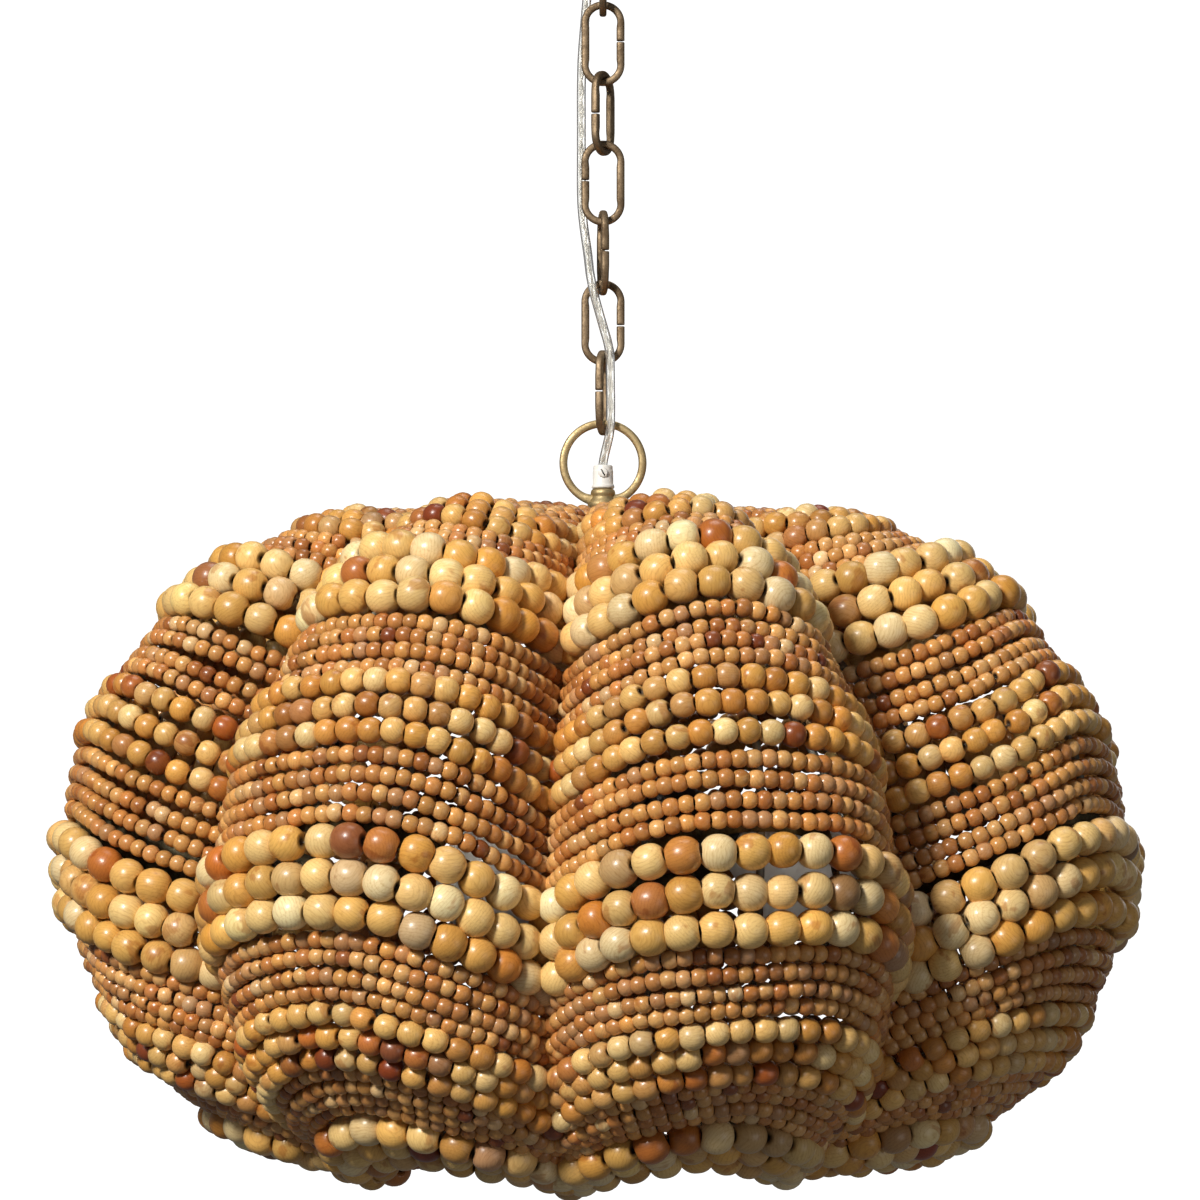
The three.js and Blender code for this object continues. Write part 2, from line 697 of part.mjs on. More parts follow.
// Finishes
const finishes = {
  brass: { color: 0x8f7b4d, roughness: 0.42, metalness: 1 },
  greenBrass: { color: 0xa4935c, roughness: 0.36, metalness: 1 },
  steel: { color: 0x8c8c88, roughness: 0.5, metalness: 1 },
  cageWire: { color: 0x77756a, roughness: 0.6, metalness: 0.8 },
  whitePlastic: { color: 0xf0efea, roughness: 0.45, metalness: 0 },
  clearCord: { color: 0xc9c7bf, roughness: 0.3, metalness: 0.2 },
  smallBeads: { color: 0xb9793f, roughness: 0.4, metalness: 0 },
  mediumBeads: { color: 0xd3a865, roughness: 0.38, metalness: 0 },
  largeBeads: { color: 0xe0b868, roughness: 0.36, metalness: 0 },
  darkPlastic: { color: 0x2b2a28, roughness: 0.5, metalness: 0 },
  glass: { color: 0xf4f1e6, roughness: 0.25, metalness: 0 },
};

function piece(name, geometry, finish) {
  const mesh = new THREE.Mesh(geometry, new THREE.MeshStandardMaterial(finishes[finish]));
  mesh.name = name;
  return mesh;
}

function ceilingSide() {
  const group = new THREE.Group();
  const nippleBottom = -canopyDepth - seatGap - nippleEngagement;
  const nutTop = -crossbarThickness - seatGap;
  const nipple = tube(tubeDiameter, tubeBore, nippleBottom, -seatGap, tubeSides);
  const loop = piece("canopy_loop", canopyLoop(), "brass");
  loop.position.z = loopCentre;
  group.add(
    piece("crossbar", crossbar(), "steel"),
    piece("nipple", nipple, "steel"),
    piece("nipple_nut", hexNut(nutTop - nutHeight, nutTop), "steel"),
    piece("canopy", canopy(), "brass"),
    loop,
    piece("lamp_cord", lampCord(), "clearCord"),
  );
  for (const [name, side] of [["box_screw_left", -1], ["box_screw_right", 1]]) {
    const screw = piece(name, boxScrew(), "steel");
    screw.position.x = side * slotCentre;
    group.add(screw);
  }
  return group;
}

// The links hang crosswise in turn, each turned a little further by its own twist
function chain() {
  const group = new THREE.Group();
  for (let i = 0; i < linkCount; i++) {
    const link = piece(`chain_link_${i + 1}`, chainLink(), "brass");
    link.position.z = firstLinkCentre - i * linkPitch;
    link.rotation.z = degrees((i % 2 ? 0 : 90) + linkTwists[i]);
    group.add(link);
  }
  return group;
}

// Everything that hangs on the ring, about the equator
function shade() {
  const group = new THREE.Group();
  const ringHeight = hubTop + seatGap - ringCollarBottom;
  const lockTop = plateTop - hubPlate - seatGap;
  const ring = piece("ring_loop", ringLoop(), "greenBrass");
  const grip = piece("cord_grip", cordGrip(), "whitePlastic");
  const cluster = piece("cluster_body", clusterBody(), "brass");
  ring.position.z = ringHeight;
  grip.position.z = ringHeight;
  cluster.position.z = clusterAboveEquator;
  group.position.z = ringCentre - ringHeight;
  group.add(
    ring,
    grip,
    cluster,
    piece("stem", stem(), "steel"),
    piece("top_hub", topHub(), "steel"),
    piece("lock_nut", hexNut(lockTop - nutHeight, lockTop), "steel"),
    piece("equator_hoop", equatorHoop(), "cageWire"),
    piece("bottom_hoop", bottomHoop(), "cageWire"),
  );
  for (let lobe = 0; lobe < lobeCount; lobe++) {
    group.add(
      piece(`crest_rib_${lobe + 1}`, crestRib(lobe), "cageWire"),
      piece(`valley_rib_${lobe + 1}`, valleyRib(lobe), "cageWire"),
    );
  }
  bands.forEach((band, i) => {
    const name = `band_${String(i + 1).padStart(2, "0")}_${band.bead}`;
    group.add(piece(name, beadBand(band), `${band.bead}Beads`));
  });
  for (let i = 0; i < socketCount; i++) {
    const holder = piece(`socket_${i + 1}`, aimed(lampholder(), i), "darkPlastic");
    const lamp = piece(`bulb_${i + 1}`, aimed(bulb(), i), "glass");
    holder.position.z = clusterAboveEquator;
    lamp.position.z = clusterAboveEquator;
    group.add(holder, lamp);
  }
  return group;
}

const chandelier = new THREE.Group();
chandelier.add(ceilingSide(), chain(), shade());

export default chandelier;
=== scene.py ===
"""Beaded chandelier: strings of turned wooden beads on a lobed wire cage, hung on a brass chain."""
import logging
import math
from collections.abc import Iterable, Mapping, Sequence
from dataclasses import dataclass, field, replace
from enum import Enum
from typing import Any

import bpy
import numpy as np
from mathutils import Matrix, Vector


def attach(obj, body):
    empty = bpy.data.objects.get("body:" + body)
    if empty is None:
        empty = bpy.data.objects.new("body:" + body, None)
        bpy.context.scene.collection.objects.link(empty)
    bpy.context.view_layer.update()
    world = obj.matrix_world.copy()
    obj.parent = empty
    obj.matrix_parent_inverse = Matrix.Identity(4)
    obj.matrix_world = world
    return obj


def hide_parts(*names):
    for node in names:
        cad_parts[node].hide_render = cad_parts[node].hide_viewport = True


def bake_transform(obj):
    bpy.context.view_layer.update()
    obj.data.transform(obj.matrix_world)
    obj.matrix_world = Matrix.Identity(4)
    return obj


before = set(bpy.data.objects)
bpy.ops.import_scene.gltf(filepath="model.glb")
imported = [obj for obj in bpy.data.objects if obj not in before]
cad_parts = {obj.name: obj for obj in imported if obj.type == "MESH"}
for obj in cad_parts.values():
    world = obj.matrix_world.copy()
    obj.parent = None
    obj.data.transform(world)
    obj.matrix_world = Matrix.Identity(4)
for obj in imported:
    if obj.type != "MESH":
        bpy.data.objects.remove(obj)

LOG = logging.getLogger("chandelier")
MM = 0.001
TAU = 2 * math.pi
EQUATOR_BAND = 7
CEILING = "ceiling"
SHADE = "shade"
BAKE_MAP = "OFBake"
XZ_NORMAL = Vector((0, 1, 0))

Rgb = tuple[float, float, float]
Profile = list[tuple[float, float]]


def linear(hex_colour: str) -> Rgb:
    """Scene-linear value of a screen colour such as "c8a060"."""
    shares = [int(hex_colour[i:i + 2], 16) / 255 for i in (0, 2, 4)]
    return tuple(s / 12.92 if s <= 0.04045 else ((s + 0.055) / 1.055) ** 2.4 for s in shares)


# Shader graphs


class Signal:
    """A node's output as a number that Python's operators work on."""

    def __init__(self, graph: "Graph", socket: bpy.types.NodeSocket) -> None:
        """Wraps a socket of a graph."""
        self.graph = graph
        self.socket = socket

    def _maths(self, operation: str, first: Any, second: Any, clamp: bool = False) -> "Signal":
        """One Math node.

        Args:
            operation: The Math node's operation.
            first: Its first operand, a signal or a number.
            second: Its second operand.
            clamp: Whether the result is held between 0 and 1.

        Returns:
            The node's output.
        """
        settings = {"operation": operation, "use_clamp": clamp}
        made = self.graph.node("ShaderNodeMath", settings, {0: first, 1: second})
        return Signal(self.graph, made.outputs[0])

    def __add__(self, other: Any) -> "Signal":
        """Sum."""
        return self._maths("ADD", self, other)

    def __radd__(self, other: Any) -> "Signal":
        """Sum with the signal on the right."""
        return self._maths("ADD", other, self)

    def __sub__(self, other: Any) -> "Signal":
        """Difference."""
        return self._maths("SUBTRACT", self, other)

    def __rsub__(self, other: Any) -> "Signal":
        """Difference with the signal on the right, such as 1 - mask."""
        return self._maths("SUBTRACT", other, self)

    def __mul__(self, other: Any) -> "Signal":
        """Product."""
        return self._maths("MULTIPLY", self, other)

    def __rmul__(self, other: Any) -> "Signal":
        """Product with the signal on the right."""
        return self._maths("MULTIPLY", other, self)

    def held(self) -> "Signal":
        """The signal held between 0 and 1."""
        return self._maths("ADD", self, 0.0, clamp=True)


class Graph:
    """One material's node tree, ending in a Principled shader."""

    def __init__(self, name: str) -> None:
        """Makes the material with an empty tree and its output.

        Args:
            name: The material's name.
        """
        self.material = bpy.data.materials.new(name)
        self.material.use_nodes = True
        self.tree = self.material.node_tree
        self.tree.nodes.clear()
        self.output = self.tree.nodes.new("ShaderNodeOutputMaterial")

    def node(
        self,
        kind: str,
        settings: Mapping[str, Any] | None = None,
        sockets: Mapping[str | int, Any] | None = None,
    ) -> bpy.types.Node:
        """Adds a node.

        Args:
            kind: The node's type.
            settings: Its own settings, set first.
            sockets: Values or links of its inputs, by name or number.

        Returns:
            The node.
        """
        made = self.tree.nodes.new(kind)
        for key, value in (settings or {}).items():
            setattr(made, key, value)
        for key, value in (sockets or {}).items():
            self.feed(made.inputs[key], value)
        return made

    def feed(self, socket: bpy.types.NodeSocket, value: Any) -> None:
        """Links a signal or socket to an input, or sets the input's own value.

        Args:
            socket: The input.
            value: A signal, a socket, a colour or a number.
        """
        if isinstance(value, Signal):
            value = value.socket
        if isinstance(value, bpy.types.NodeSocket):
            self.tree.links.new(value, socket)
        elif isinstance(value, tuple) and len(value) == 3 and socket.type == "RGBA":
            socket.default_value = (*value, 1.0)
        else:
            socket.default_value = value

    def attribute(self, name: str, output: str) -> Signal:
        """A value that the mesh carries."""
        made = self.node("ShaderNodeAttribute", {"attribute_name": name})
        return Signal(self, made.outputs[output])

    def place(self) -> Signal:
        """The piece's own coordinates, in metres."""
        return Signal(self, self.node("ShaderNodeTexCoord").outputs["Object"])

    def stretched(self, vector: Signal, scale: Sequence[float]) -> Signal:
        """A vector scaled along each axis."""
        made = self.node("ShaderNodeMapping", {}, {"Vector": vector, "Scale": tuple(scale)})
        return Signal(self, made.outputs["Vector"])

    def noise(
        self, vector: Signal, scale: float, detail: float = 3.0, rough: float = 0.55,
    ) -> Signal:
        """Cloudy noise between 0 and 1.

        Args:
            vector: Where it is read.
            scale: Cells per unit.
            detail: Octaves.
            rough: Weight of the finer octaves.

        Returns:
            The noise.
        """
        values = {"Vector": vector, "Scale": scale, "Detail": detail, "Roughness": rough}
        return Signal(self, self.node("ShaderNodeTexNoise", {}, values).outputs["Fac"])

    def bands(self, vector: Signal, spacing: float) -> Signal:
        """Wavering growth rings, as a saw between 0 and 1.

        Args:
            vector: Where they are read, in millimetres.
            spacing: Distance between rings.

        Returns:
            The rings.
        """
        settings = {"wave_type": "BANDS", "bands_direction": "Y", "wave_profile": "SAW"}
        values = {
            "Vector": vector,
            "Scale": TAU / (20 * spacing),
            "Distortion": 6.0,
            "Detail": 1.5,
            "Detail Scale": 0.6,
        }
        return Signal(self, self.node("ShaderNodeTexWave", settings, values).outputs["Fac"])

    def ramp(self, signal: Signal, low: float, high: float) -> Signal:
        """A signal stretched so that low gives 0 and high gives 1, eased at both ends.

        Args:
            signal: What is stretched.
            low: Where the ramp starts.
            high: Where it ends.

        Returns:
            The stretched signal.
        """
        settings = {"interpolation_type": "SMOOTHSTEP"}
        values = {"Value": signal, "From Min": low, "From Max": high}
        return Signal(self, self.node("ShaderNodeMapRange", settings, values).outputs["Result"])

    def blend(self, share: Any, first: Any, second: Any, mode: str = "MIX") -> Signal:
        """Mixes two colours.

        Args:
            share: Share of the second one.
            first: A colour or a signal.
            second: A colour or a signal.
            mode: The Mix node's blend type.

        Returns:
            The mixed colour.
        """
        settings = {"data_type": "RGBA", "blend_type": mode}
        made = self.node("ShaderNodeMix", settings, {0: share, 6: first, 7: second})
        return Signal(self, made.outputs[2])

    def bump(self, height: Signal, strength: float, distance: float) -> Signal:
        """A surface normal from a height."""
        values = {"Height": height, "Strength": strength, "Distance": distance}
        return Signal(self, self.node("ShaderNodeBump", {}, values).outputs["Normal"])

    def finish(self, values: Mapping[str, Any]) -> bpy.types.Material:
        """Closes the tree with a Principled shader of these inputs.

        Args:
            values: Values or links of the shader's inputs, by name.

        Returns:
            The material.
        """
        shader = self.node("ShaderNodeBsdfPrincipled", {}, values)
        self.tree.links.new(shader.outputs[0], self.output.inputs["Surface"])
        return self.material


# Finishes


@dataclass(frozen=True)
class VarnishedWood:
    """Turned pale wood under a thin varnish; each bead carries its own tone and grain place, and
    painted shade darkens its drilled holes.
    """

    name: str
    dullness: float
    grain: float
    ring_spacing: float
    ring_depth: float
    heartwood: Rgb = (0.64, 0.4, 0.24)
    sapwood: Rgb = (1.16, 1.17, 1.24)
    dark_fibre: Rgb = (0.72, 0.6, 0.46)
    # Painted shade: the near-black colour laid inside each bead's drilled hole.
    bore: Rgb = (0.03, 0.014, 0.006)

    def material(self) -> bpy.types.Material:
        """Builds the material.

        Returns:
            The material.
        """
        g = Graph(self.name)
        tone = g.attribute("tone", "Color")
        # Share of painted hole shade on each point, carried in the tone's fourth channel.
        hole = g.attribute("tone", "Alpha")
        grain_at = g.attribute("grain", "Vector")
        cloud = g.noise(g.stretched(grain_at, (0.5, 1.0, 1.0)), 0.085, 3.0)
        fibre = g.noise(g.stretched(grain_at, (0.22, 1.0, 1.0)), 1.1, 4.0, 0.65)
        rings = g.bands(grain_at, self.ring_spacing)
        heart = g.ramp(cloud, 0.61, 0.67)
        sap = g.ramp(1 - cloud, 0.56, 0.72)
        darker = g.blend(heart * 0.62, tone, g.blend(1.0, tone, self.heartwood, "MULTIPLY"))
        paler = g.blend(sap * 0.35, darker, g.blend(1.0, darker, self.sapwood, "MULTIPLY"))
        streak = g.ramp(fibre, 0.44, 0.7) * self.grain + g.ramp(rings, 0.6, 0.97) * self.ring_depth
        grained = g.blend(streak, paler, g.blend(1.0, paler, self.dark_fibre, "MULTIPLY"))
        # Painted shade: the drilled holes go near black.
        colour = g.blend(hole, grained, self.bore)
        rough = g.ramp(fibre, 0.3, 0.8) * 0.14 + hole * 0.4 + self.dullness
        return g.finish({
            "Base Color": colour,
            "Roughness": rough.held(),
            "Normal": g.bump(fibre + rings * 0.4, 0.16, 0.0004),
            "Coat Weight": 0.3,
            "Coat Roughness": 0.2,
            "IOR": 1.48,
        })


@dataclass(frozen=True)
class AgedMetal:
    """Cast or drawn metal with clouds of patina between rubbed places."""

    name: str
    colour: Rgb
    patina: Rgb
    dullness: float
    patina_share: float
    grain: float = 900.0

    def material(self) -> bpy.types.Material:
        """Builds the material.

        Returns:
            The material.
        """
        g = Graph(self.name)
        where = g.place()
        cloud = g.noise(where, self.grain * 0.12, 4.0, 0.6)
        fine = g.noise(where, self.grain, 3.0, 0.6)
        worn = g.ramp(cloud * 0.7 + fine * 0.3, 0.4, 0.62)
        colour = g.blend(worn * self.patina_share, self.colour, self.patina)
        rough = worn * 0.16 + fine * 0.12 + self.dullness
        return g.finish({
            "Base Color": colour,
            "Metallic": 1.0,
            "Roughness": rough.held(),
            "Normal": g.bump(fine, 0.12, 0.0002),
        })


@dataclass(frozen=True)
class Moulded:
    """Moulded plastic with a faint mottle and a fine skin."""

    name: str
    colour: Rgb
    dullness: float
    texture: float = 0.1

    def material(self) -> bpy.types.Material:
        """Builds the material.

        Returns:
            The material.
        """
        g = Graph(self.name)
        where = g.place()
        fine = g.noise(where, 1400.0, 2.0)
        cloud = g.noise(where, 90.0, 3.0)
        shade = g.blend(cloud * 0.22, self.colour, tuple(0.82 * c for c in self.colour))
        return g.finish({
            "Base Color": shade,
            "Roughness": (fine * 0.1 + self.dullness).held(),
            "Normal": g.bump(fine, self.texture, 0.0002),
            "IOR": 1.5,
        })


@dataclass(frozen=True)
class ClearVinyl:
    """The lamp cord's clear jacket."""

    name: str

    def material(self) -> bpy.types.Material:
        """Builds the material.

        Returns:
            The material.
        """
        g = Graph(self.name)
        haze = g.noise(g.place(), 500.0, 2.0)
        return g.finish({
            "Base Color": g.blend(haze * 0.3, (0.93, 0.93, 0.9), (0.84, 0.83, 0.78)),
            "Roughness": (haze * 0.12 + 0.1).held(),
            "Transmission Weight": 0.86,
            "IOR": 1.42,
        })


@dataclass(frozen=True)
class FrostedGlass:
    """A bulb's soft white glass."""

    name: str

    def material(self) -> bpy.types.Material:
        """Builds the material.

        Returns:
            The material.
        """
        g = Graph(self.name)
        haze = g.noise(g.place(), 60.0, 2.0)
        return g.finish({
            "Base Color": g.blend(haze * 0.25, (0.9, 0.88, 0.82), (0.8, 0.77, 0.7)),
            "Roughness": (haze * 0.06 + 0.22).held(),
            "Subsurface Weight": 0.35,
            "Subsurface Radius": (0.004, 0.004, 0.004),
            "IOR": 1.5,
        })


@dataclass(frozen=True)
class Backdrop:
    """Plain pale studio paper, lit from behind."""

    name: str
    colour: Rgb
    glow: float

    def material(self) -> bpy.types.Material:
        """Builds the material.

        Returns:
            The material.
        """
        return Graph(self.name).finish({
            "Base Color": self.colour,
            "Roughness": 0.9,
            "Specular IOR Level": 0.1,
            "Emission Color": (1.0, 1.0, 1.0),
            "Emission Strength": self.glow,
        })


class Finish(Enum):
    """Every finish on the chandelier."""

    LARGE_WOOD = VarnishedWood("large_bead_wood", 0.32, 0.5, 1.5, 0.36)
    MEDIUM_WOOD = VarnishedWood("medium_bead_wood", 0.3, 0.55, 1.3, 0.34)
    SMALL_WOOD = VarnishedWood("small_bead_wood", 0.26, 0.55, 1.2, 0.26)
    THREAD = AgedMetal("stringing_wire", linear("8d8778"), linear("4c4336"), 0.42, 0.5)
    CAGE = AgedMetal("cage_wire", linear("8a8672"), linear("4b4636"), 0.5, 0.7)
    STRIP = AgedMetal("cage_strip", linear("6f6852"), linear("3f3a2c"), 0.46, 0.7)
    BRASS = AgedMetal("antique_brass", linear("9a866c"), linear("6c5a45"), 0.5, 0.8)
    GREEN_BRASS = AgedMetal("greenish_brass", linear("cfba8c"), linear("8f7c58"), 0.44, 0.6)
    STEEL = AgedMetal("zinc_steel", linear("a3a39d"), linear("77766e"), 0.38, 0.5)
    TINNED = AgedMetal("tinned_strands", linear("e9e6df"), linear("a8a398"), 0.3, 0.6, 2400.0)
    WHITE_PLASTIC = Moulded("white_nylon", linear("ecebe6"), 0.38)
    BLACK_PLASTIC = Moulded("black_phenolic", linear("232120"), 0.32, 0.06)
    JACKET = ClearVinyl("clear_vinyl")
    GLASS = FrostedGlass("frosted_glass")

    @property
    def material(self) -> bpy.types.Material:
        """The finish's material, made once."""
        return bpy.data.materials.get(self.value.name) or self.value.material()


# Meshes


@dataclass
class Form:
    """A mesh in the making: points, faces grouped by their corners, and carried values."""

    points: np.ndarray
    faces: list[np.ndarray]
    face_finish: list[int] = field(default_factory=list)
    corner_uvs: list[np.ndarray] = field(default_factory=list)
    layers: dict[str, np.ndarray] = field(default_factory=dict)

    def moved(self, matrix: Matrix) -> "Form":
        """The form placed by a matrix."""
        m = np.array(matrix)
        return replace(self, points=self.points @ m[:3, :3].T + m[:3, 3])

    def finished(self, number: int) -> "Form":
        """The form with all its faces in one of the piece's finishes."""
        return replace(self, face_finish=[number] * len(self.faces))

    def build(self, name: str, finishes: Sequence[Finish]) -> bpy.types.Object:
        """Makes the Blender object.

        Args:
            name: The object's name.
            finishes: The materials that face_finish counts.

        Returns:
            The object, smooth shaded.
        """
        mesh = bpy.data.meshes.new(name)
        sizes = np.concatenate([np.full(len(f), f.shape[1]) for f in self.faces])
        starts = np.concatenate([[0], np.cumsum(sizes)[:-1]])
        mesh.vertices.add(len(self.points))
        mesh.vertices.foreach_set("co", self.points.astype(np.float32).ravel())
        mesh.loops.add(int(sizes.sum()))
        corners = np.concatenate([f.ravel() for f in self.faces])
        mesh.loops.foreach_set("vertex_index", corners.astype(np.int32))
        mesh.polygons.add(len(sizes))
        mesh.polygons.foreach_set("loop_start", starts.astype(np.int32))
        numbers = self.face_finish or [0] * len(self.faces)
        per_face = np.concatenate([np.full(len(f), n) for f, n in zip(self.faces, numbers)])
        mesh.polygons.foreach_set("material_index", per_face.astype(np.int32))
        for finish in finishes:
            mesh.materials.append(finish.material)
        mesh.update(calc_edges=True)
        mesh.validate()
        mesh.shade_smooth()
        if self.corner_uvs:
            layer = mesh.uv_layers.new(name=BAKE_MAP)
            uvs = np.concatenate([uv.reshape(-1, 2) for uv in self.corner_uvs])
            layer.data.foreach_set("uv", uvs.astype(np.float32).ravel())
        kinds = {3: ("FLOAT_VECTOR", "vector"), 4: ("FLOAT_COLOR", "color")}
        for key, values in self.layers.items():
            kind, channel = kinds[values.shape[1]]
            made = mesh.attributes.new(key, kind, "POINT")
            made.data.foreach_set(channel, values.astype(np.float32).ravel())
        made_object = bpy.data.objects.new(name, mesh)
        bpy.context.collection.objects.link(made_object)
        return made_object


def together(forms: Iterable[Form]) -> Form:
    """Several forms as one mesh; each keeps its own finish numbers.

    Args:
        forms: The forms.

    Returns:
        One form.
    """
    points, faces, numbers, count = [], [], [], 0
    for form in forms:
        points.append(form.points)
        faces += [f + count for f in form.faces]
        numbers += form.face_finish or [0] * len(form.faces)
        count += len(form.points)
    return Form(np.concatenate(points), faces, numbers)


def grid(rows: np.ndarray, round_way: bool = True, closed: bool = False) -> Form:
    """A skin of quads over rows of points.

    Args:
        rows: Points, as rows by points by 3.
        round_way: Whether each row meets itself.
        closed: Whether the last row meets the first.

    Returns:
        The form.
    """
    count, size = rows.shape[:2]
    i, j = np.meshgrid(
        np.arange(count if closed else count - 1),
        np.arange(size if round_way else size - 1),
        indexing="ij",
    )
    down, along = (i + 1) % count, (j + 1) % size
    quads = np.stack([i * size + j, i * size + along, down * size + along, down * size + j], -1)
    return Form(rows.reshape(-1, 3), [quads.reshape(-1, 4)])


def softened(profile: Profile, radius: float) -> Profile:
    """A half outline whose corners are cut back, so that edges catch light.

    Args:
        profile: The outline's radii and heights.
        radius: The most that a corner is cut back.

    Returns:
        The outline with its new corners.
    """
    result = [profile[0]]
    for before, here, after in zip(profile, profile[1:], profile[2:]):
        corner = np.array(here)
        for other in (before, after):
            away = np.array(other) - corner
            length = float(np.hypot(*away))
            reach = min(radius, 0.45 * length) / max(length, 1e-9)
            result.append(tuple(corner + away * reach))
    return result + [profile[-1]]


def turned(profile: Profile, sides: int = 48, bevel: float = 0.3, closed: bool = False) -> Form:
    """A turned piece on the Z axis.

    Args:
        profile: Half outline of radius and height in millimetres, from the lowest point outwards.
        sides: Facets round the piece.
        bevel: How far corners are cut back, in millimetres.
        closed: Whether the outline closes on itself off the axis.

    Returns:
        The form, in metres.
    """
    outline = softened(profile + [profile[0], profile[1]] if closed else profile, bevel)
    if closed:
        outline = outline[1:-1]
    shape = np.array(outline) * MM
    angle = np.linspace(0, TAU, sides, endpoint=False)
    ring = np.stack([np.cos(angle), np.sin(angle)], -1)
    inner = shape if closed else shape[[abs(r) > 1e-9 for r, _ in shape]]
    rows = np.concatenate(
        [inner[:, None, :1] * ring[None], np.repeat(inner[:, None, 1:], sides, 1)], -1
    )
    form = grid(rows, closed=closed)
    if closed:
        return form
    points, faces = [form.points], list(form.faces)
    count = len(form.points)
    for end, row in ((0, 0), (-1, len(inner) - 1)):
        if abs(shape[end][0]) > 1e-9:
            continue
        points.append(np.array([[0, 0, shape[end][1]]]))
        j = np.arange(sides)
        here, along = row * sides + j, row * sides + (j + 1) % sides
        first, second = (along, here) if end == 0 else (here, along)
        faces.append(np.stack([first, second, np.full(sides, count)], -1))
        count += 1
    return Form(np.concatenate(points), faces)


def swept(
    path: np.ndarray,
    radius: float | np.ndarray,
    sides: int = 12,
    closed: bool = False,
    across: Vector | None = None,
    squareness: float = 2.0,
    capped: bool = True,
) -> Form:
    """Round or squared wire along a path.

    Args:
        path: Points in metres.
        radius: Radius in metres, one or one for each point.
        sides: Facets round the wire.
        closed: Whether the path meets itself.
        across: Normal of the plane that the path lies in, if it does.
        squareness: 2 for a round section, more for a squared one.
        capped: Whether an open wire's ends are closed.

    Returns:
        The form.
    """
    count = len(path)
    if closed:
        tangent = np.roll(path, -1, 0) - np.roll(path, 1, 0)
    else:
        tangent = np.gradient(path, axis=0)
    tangent /= np.linalg.norm(tangent, axis=1)[:, None]
    if across is None:
        normal = np.zeros_like(path)
        guide = np.array([0.0, 1.0, 0.0]) if abs(tangent[0][1]) < 0.9 else np.array([1.0, 0.0, 0.0])
        for i in range(count):
            guide = guide - tangent[i] * guide.dot(tangent[i])
            guide /= np.linalg.norm(guide)
            normal[i] = guide
    else:
        normal = np.repeat(np.array(across)[None], count, 0)
    side = np.cross(normal, tangent)
    side /= np.linalg.norm(side, axis=1)[:, None]
    angle = np.linspace(0, TAU, sides, endpoint=False)
    size = np.broadcast_to(np.asarray(radius, float), (count,))[:, None, None]
    cosine, sine = (
        np.sign(v) * np.abs(v) ** (2 / squareness) for v in (np.cos(angle), np.sin(angle))
    )
    rows = path[:, None] + size * (
        cosine[None, :, None] * side[:, None] + sine[None, :, None] * normal[:, None]
    )
    form = grid(rows, closed=closed)
    if not closed and capped:
        last = (count - 1) * sides
        ring = np.arange(sides)
        form.faces += [ring[::-1][None], (last + ring)[None]]
    form.faces = [f[:, ::-1] for f in form.faces]
    return form


def circle_path(radius: float, steps: int) -> np.ndarray:
    """A circle in the XZ plane, in metres, from a radius in millimetres."""
    turn = np.linspace(0, TAU, 2 * steps, endpoint=False)
    return np.stack([radius * np.cos(turn), 0 * turn, radius * np.sin(turn)], -1) * MM


def oval_path(radius: float, straight: float, steps: int) -> np.ndarray:
    """A closed oval with straight sides in the XZ plane, in metres.

    Args:
        radius: Radius of its ends, in millimetres.
        straight: Length of its sides, in millimetres.
        steps: Steps round each end.

    Returns:
        The oval's points.
    """
    arc = np.linspace(0, math.pi, steps + 1)
    top = np.stack([radius * np.cos(arc), 0 * arc, radius * np.sin(arc) + straight / 2], -1)
    legs = np.linspace(straight / 2, -straight / 2, 9)[1:-1]
    left = np.stack([0 * legs - radius, 0 * legs, legs], -1)
    bottom = top * [-1, 1, -1]
    return np.concatenate([top, left, bottom, left[::-1] * [-1, 1, 1]]) * MM


def smooth_curve(
    points: Sequence[Sequence[float]], per_span: int, closed: bool = False,
) -> np.ndarray:
    """A Catmull-Rom curve through points, with the same number of steps in each span.

    Args:
        points: The points that it passes.
        per_span: Steps from one point to the next.
        closed: Whether it meets itself.

    Returns:
        The curve's points.
    """
    p = np.array(points, float)
    if closed:
        p = np.vstack([p[-1], p, p[0], p[1]])
    else:
        p = np.vstack([2 * p[0] - p[1], p, 2 * p[-1] - p[-2]])
    t = np.linspace(0, 1, per_span, endpoint=False)[:, None]
    spans = []
    for a, b, c, d in zip(p, p[1:], p[2:], p[3:]):
        spans.append(0.5 * (2 * b + (c - a) * t + (2 * a - 5 * b + 4 * c - d) * t**2
                            + (3 * b - a - 3 * c + d) * t**3))
    return np.vstack(spans if closed else spans + [p[-2][None]])


def rings_about_z(rims: Iterable[tuple[float | np.ndarray, float]], sides: int) -> np.ndarray:
    """Rings of points about the Z axis, one for each radius and height.

    Args:
        rims: Radius and height of each ring.
        sides: Points round each ring.

    Returns:
        Rings by points by 3.
    """
    turn = np.linspace(0, TAU, sides, endpoint=False)
    return np.array([
        np.stack([r * np.cos(turn), r * np.sin(turn), 0 * turn + z], -1) for r, z in rims
    ])


def run_along(path: np.ndarray) -> np.ndarray:
    """Distance from a path's start to each of its points."""
    return np.concatenate([[0], np.cumsum(np.linalg.norm(np.diff(path, axis=0), axis=1))])


def put(
    form: Form,
    name: str,
    finishes: Finish | Sequence[Finish],
    body: str | None,
    nodes: Sequence[str] = (),
) -> bpy.types.Object:
    """Builds a piece, has it ride on its body and stand for its CAD nodes.

    Args:
        form: The mesh.
        name: The piece's name.
        finishes: One finish or several.
        body: The body it rides on, or None.
        nodes: The CAD nodes it replaces.

    Returns:
        The piece.
    """
    several = [finishes] if isinstance(finishes, Finish) else list(finishes)
    piece = form.build(name, several)
    if body:
        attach(piece, body)
    if nodes:
        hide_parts(*nodes)
    LOG.info("%s: %d faces", name, len(piece.data.polygons))
    return piece


# Studio


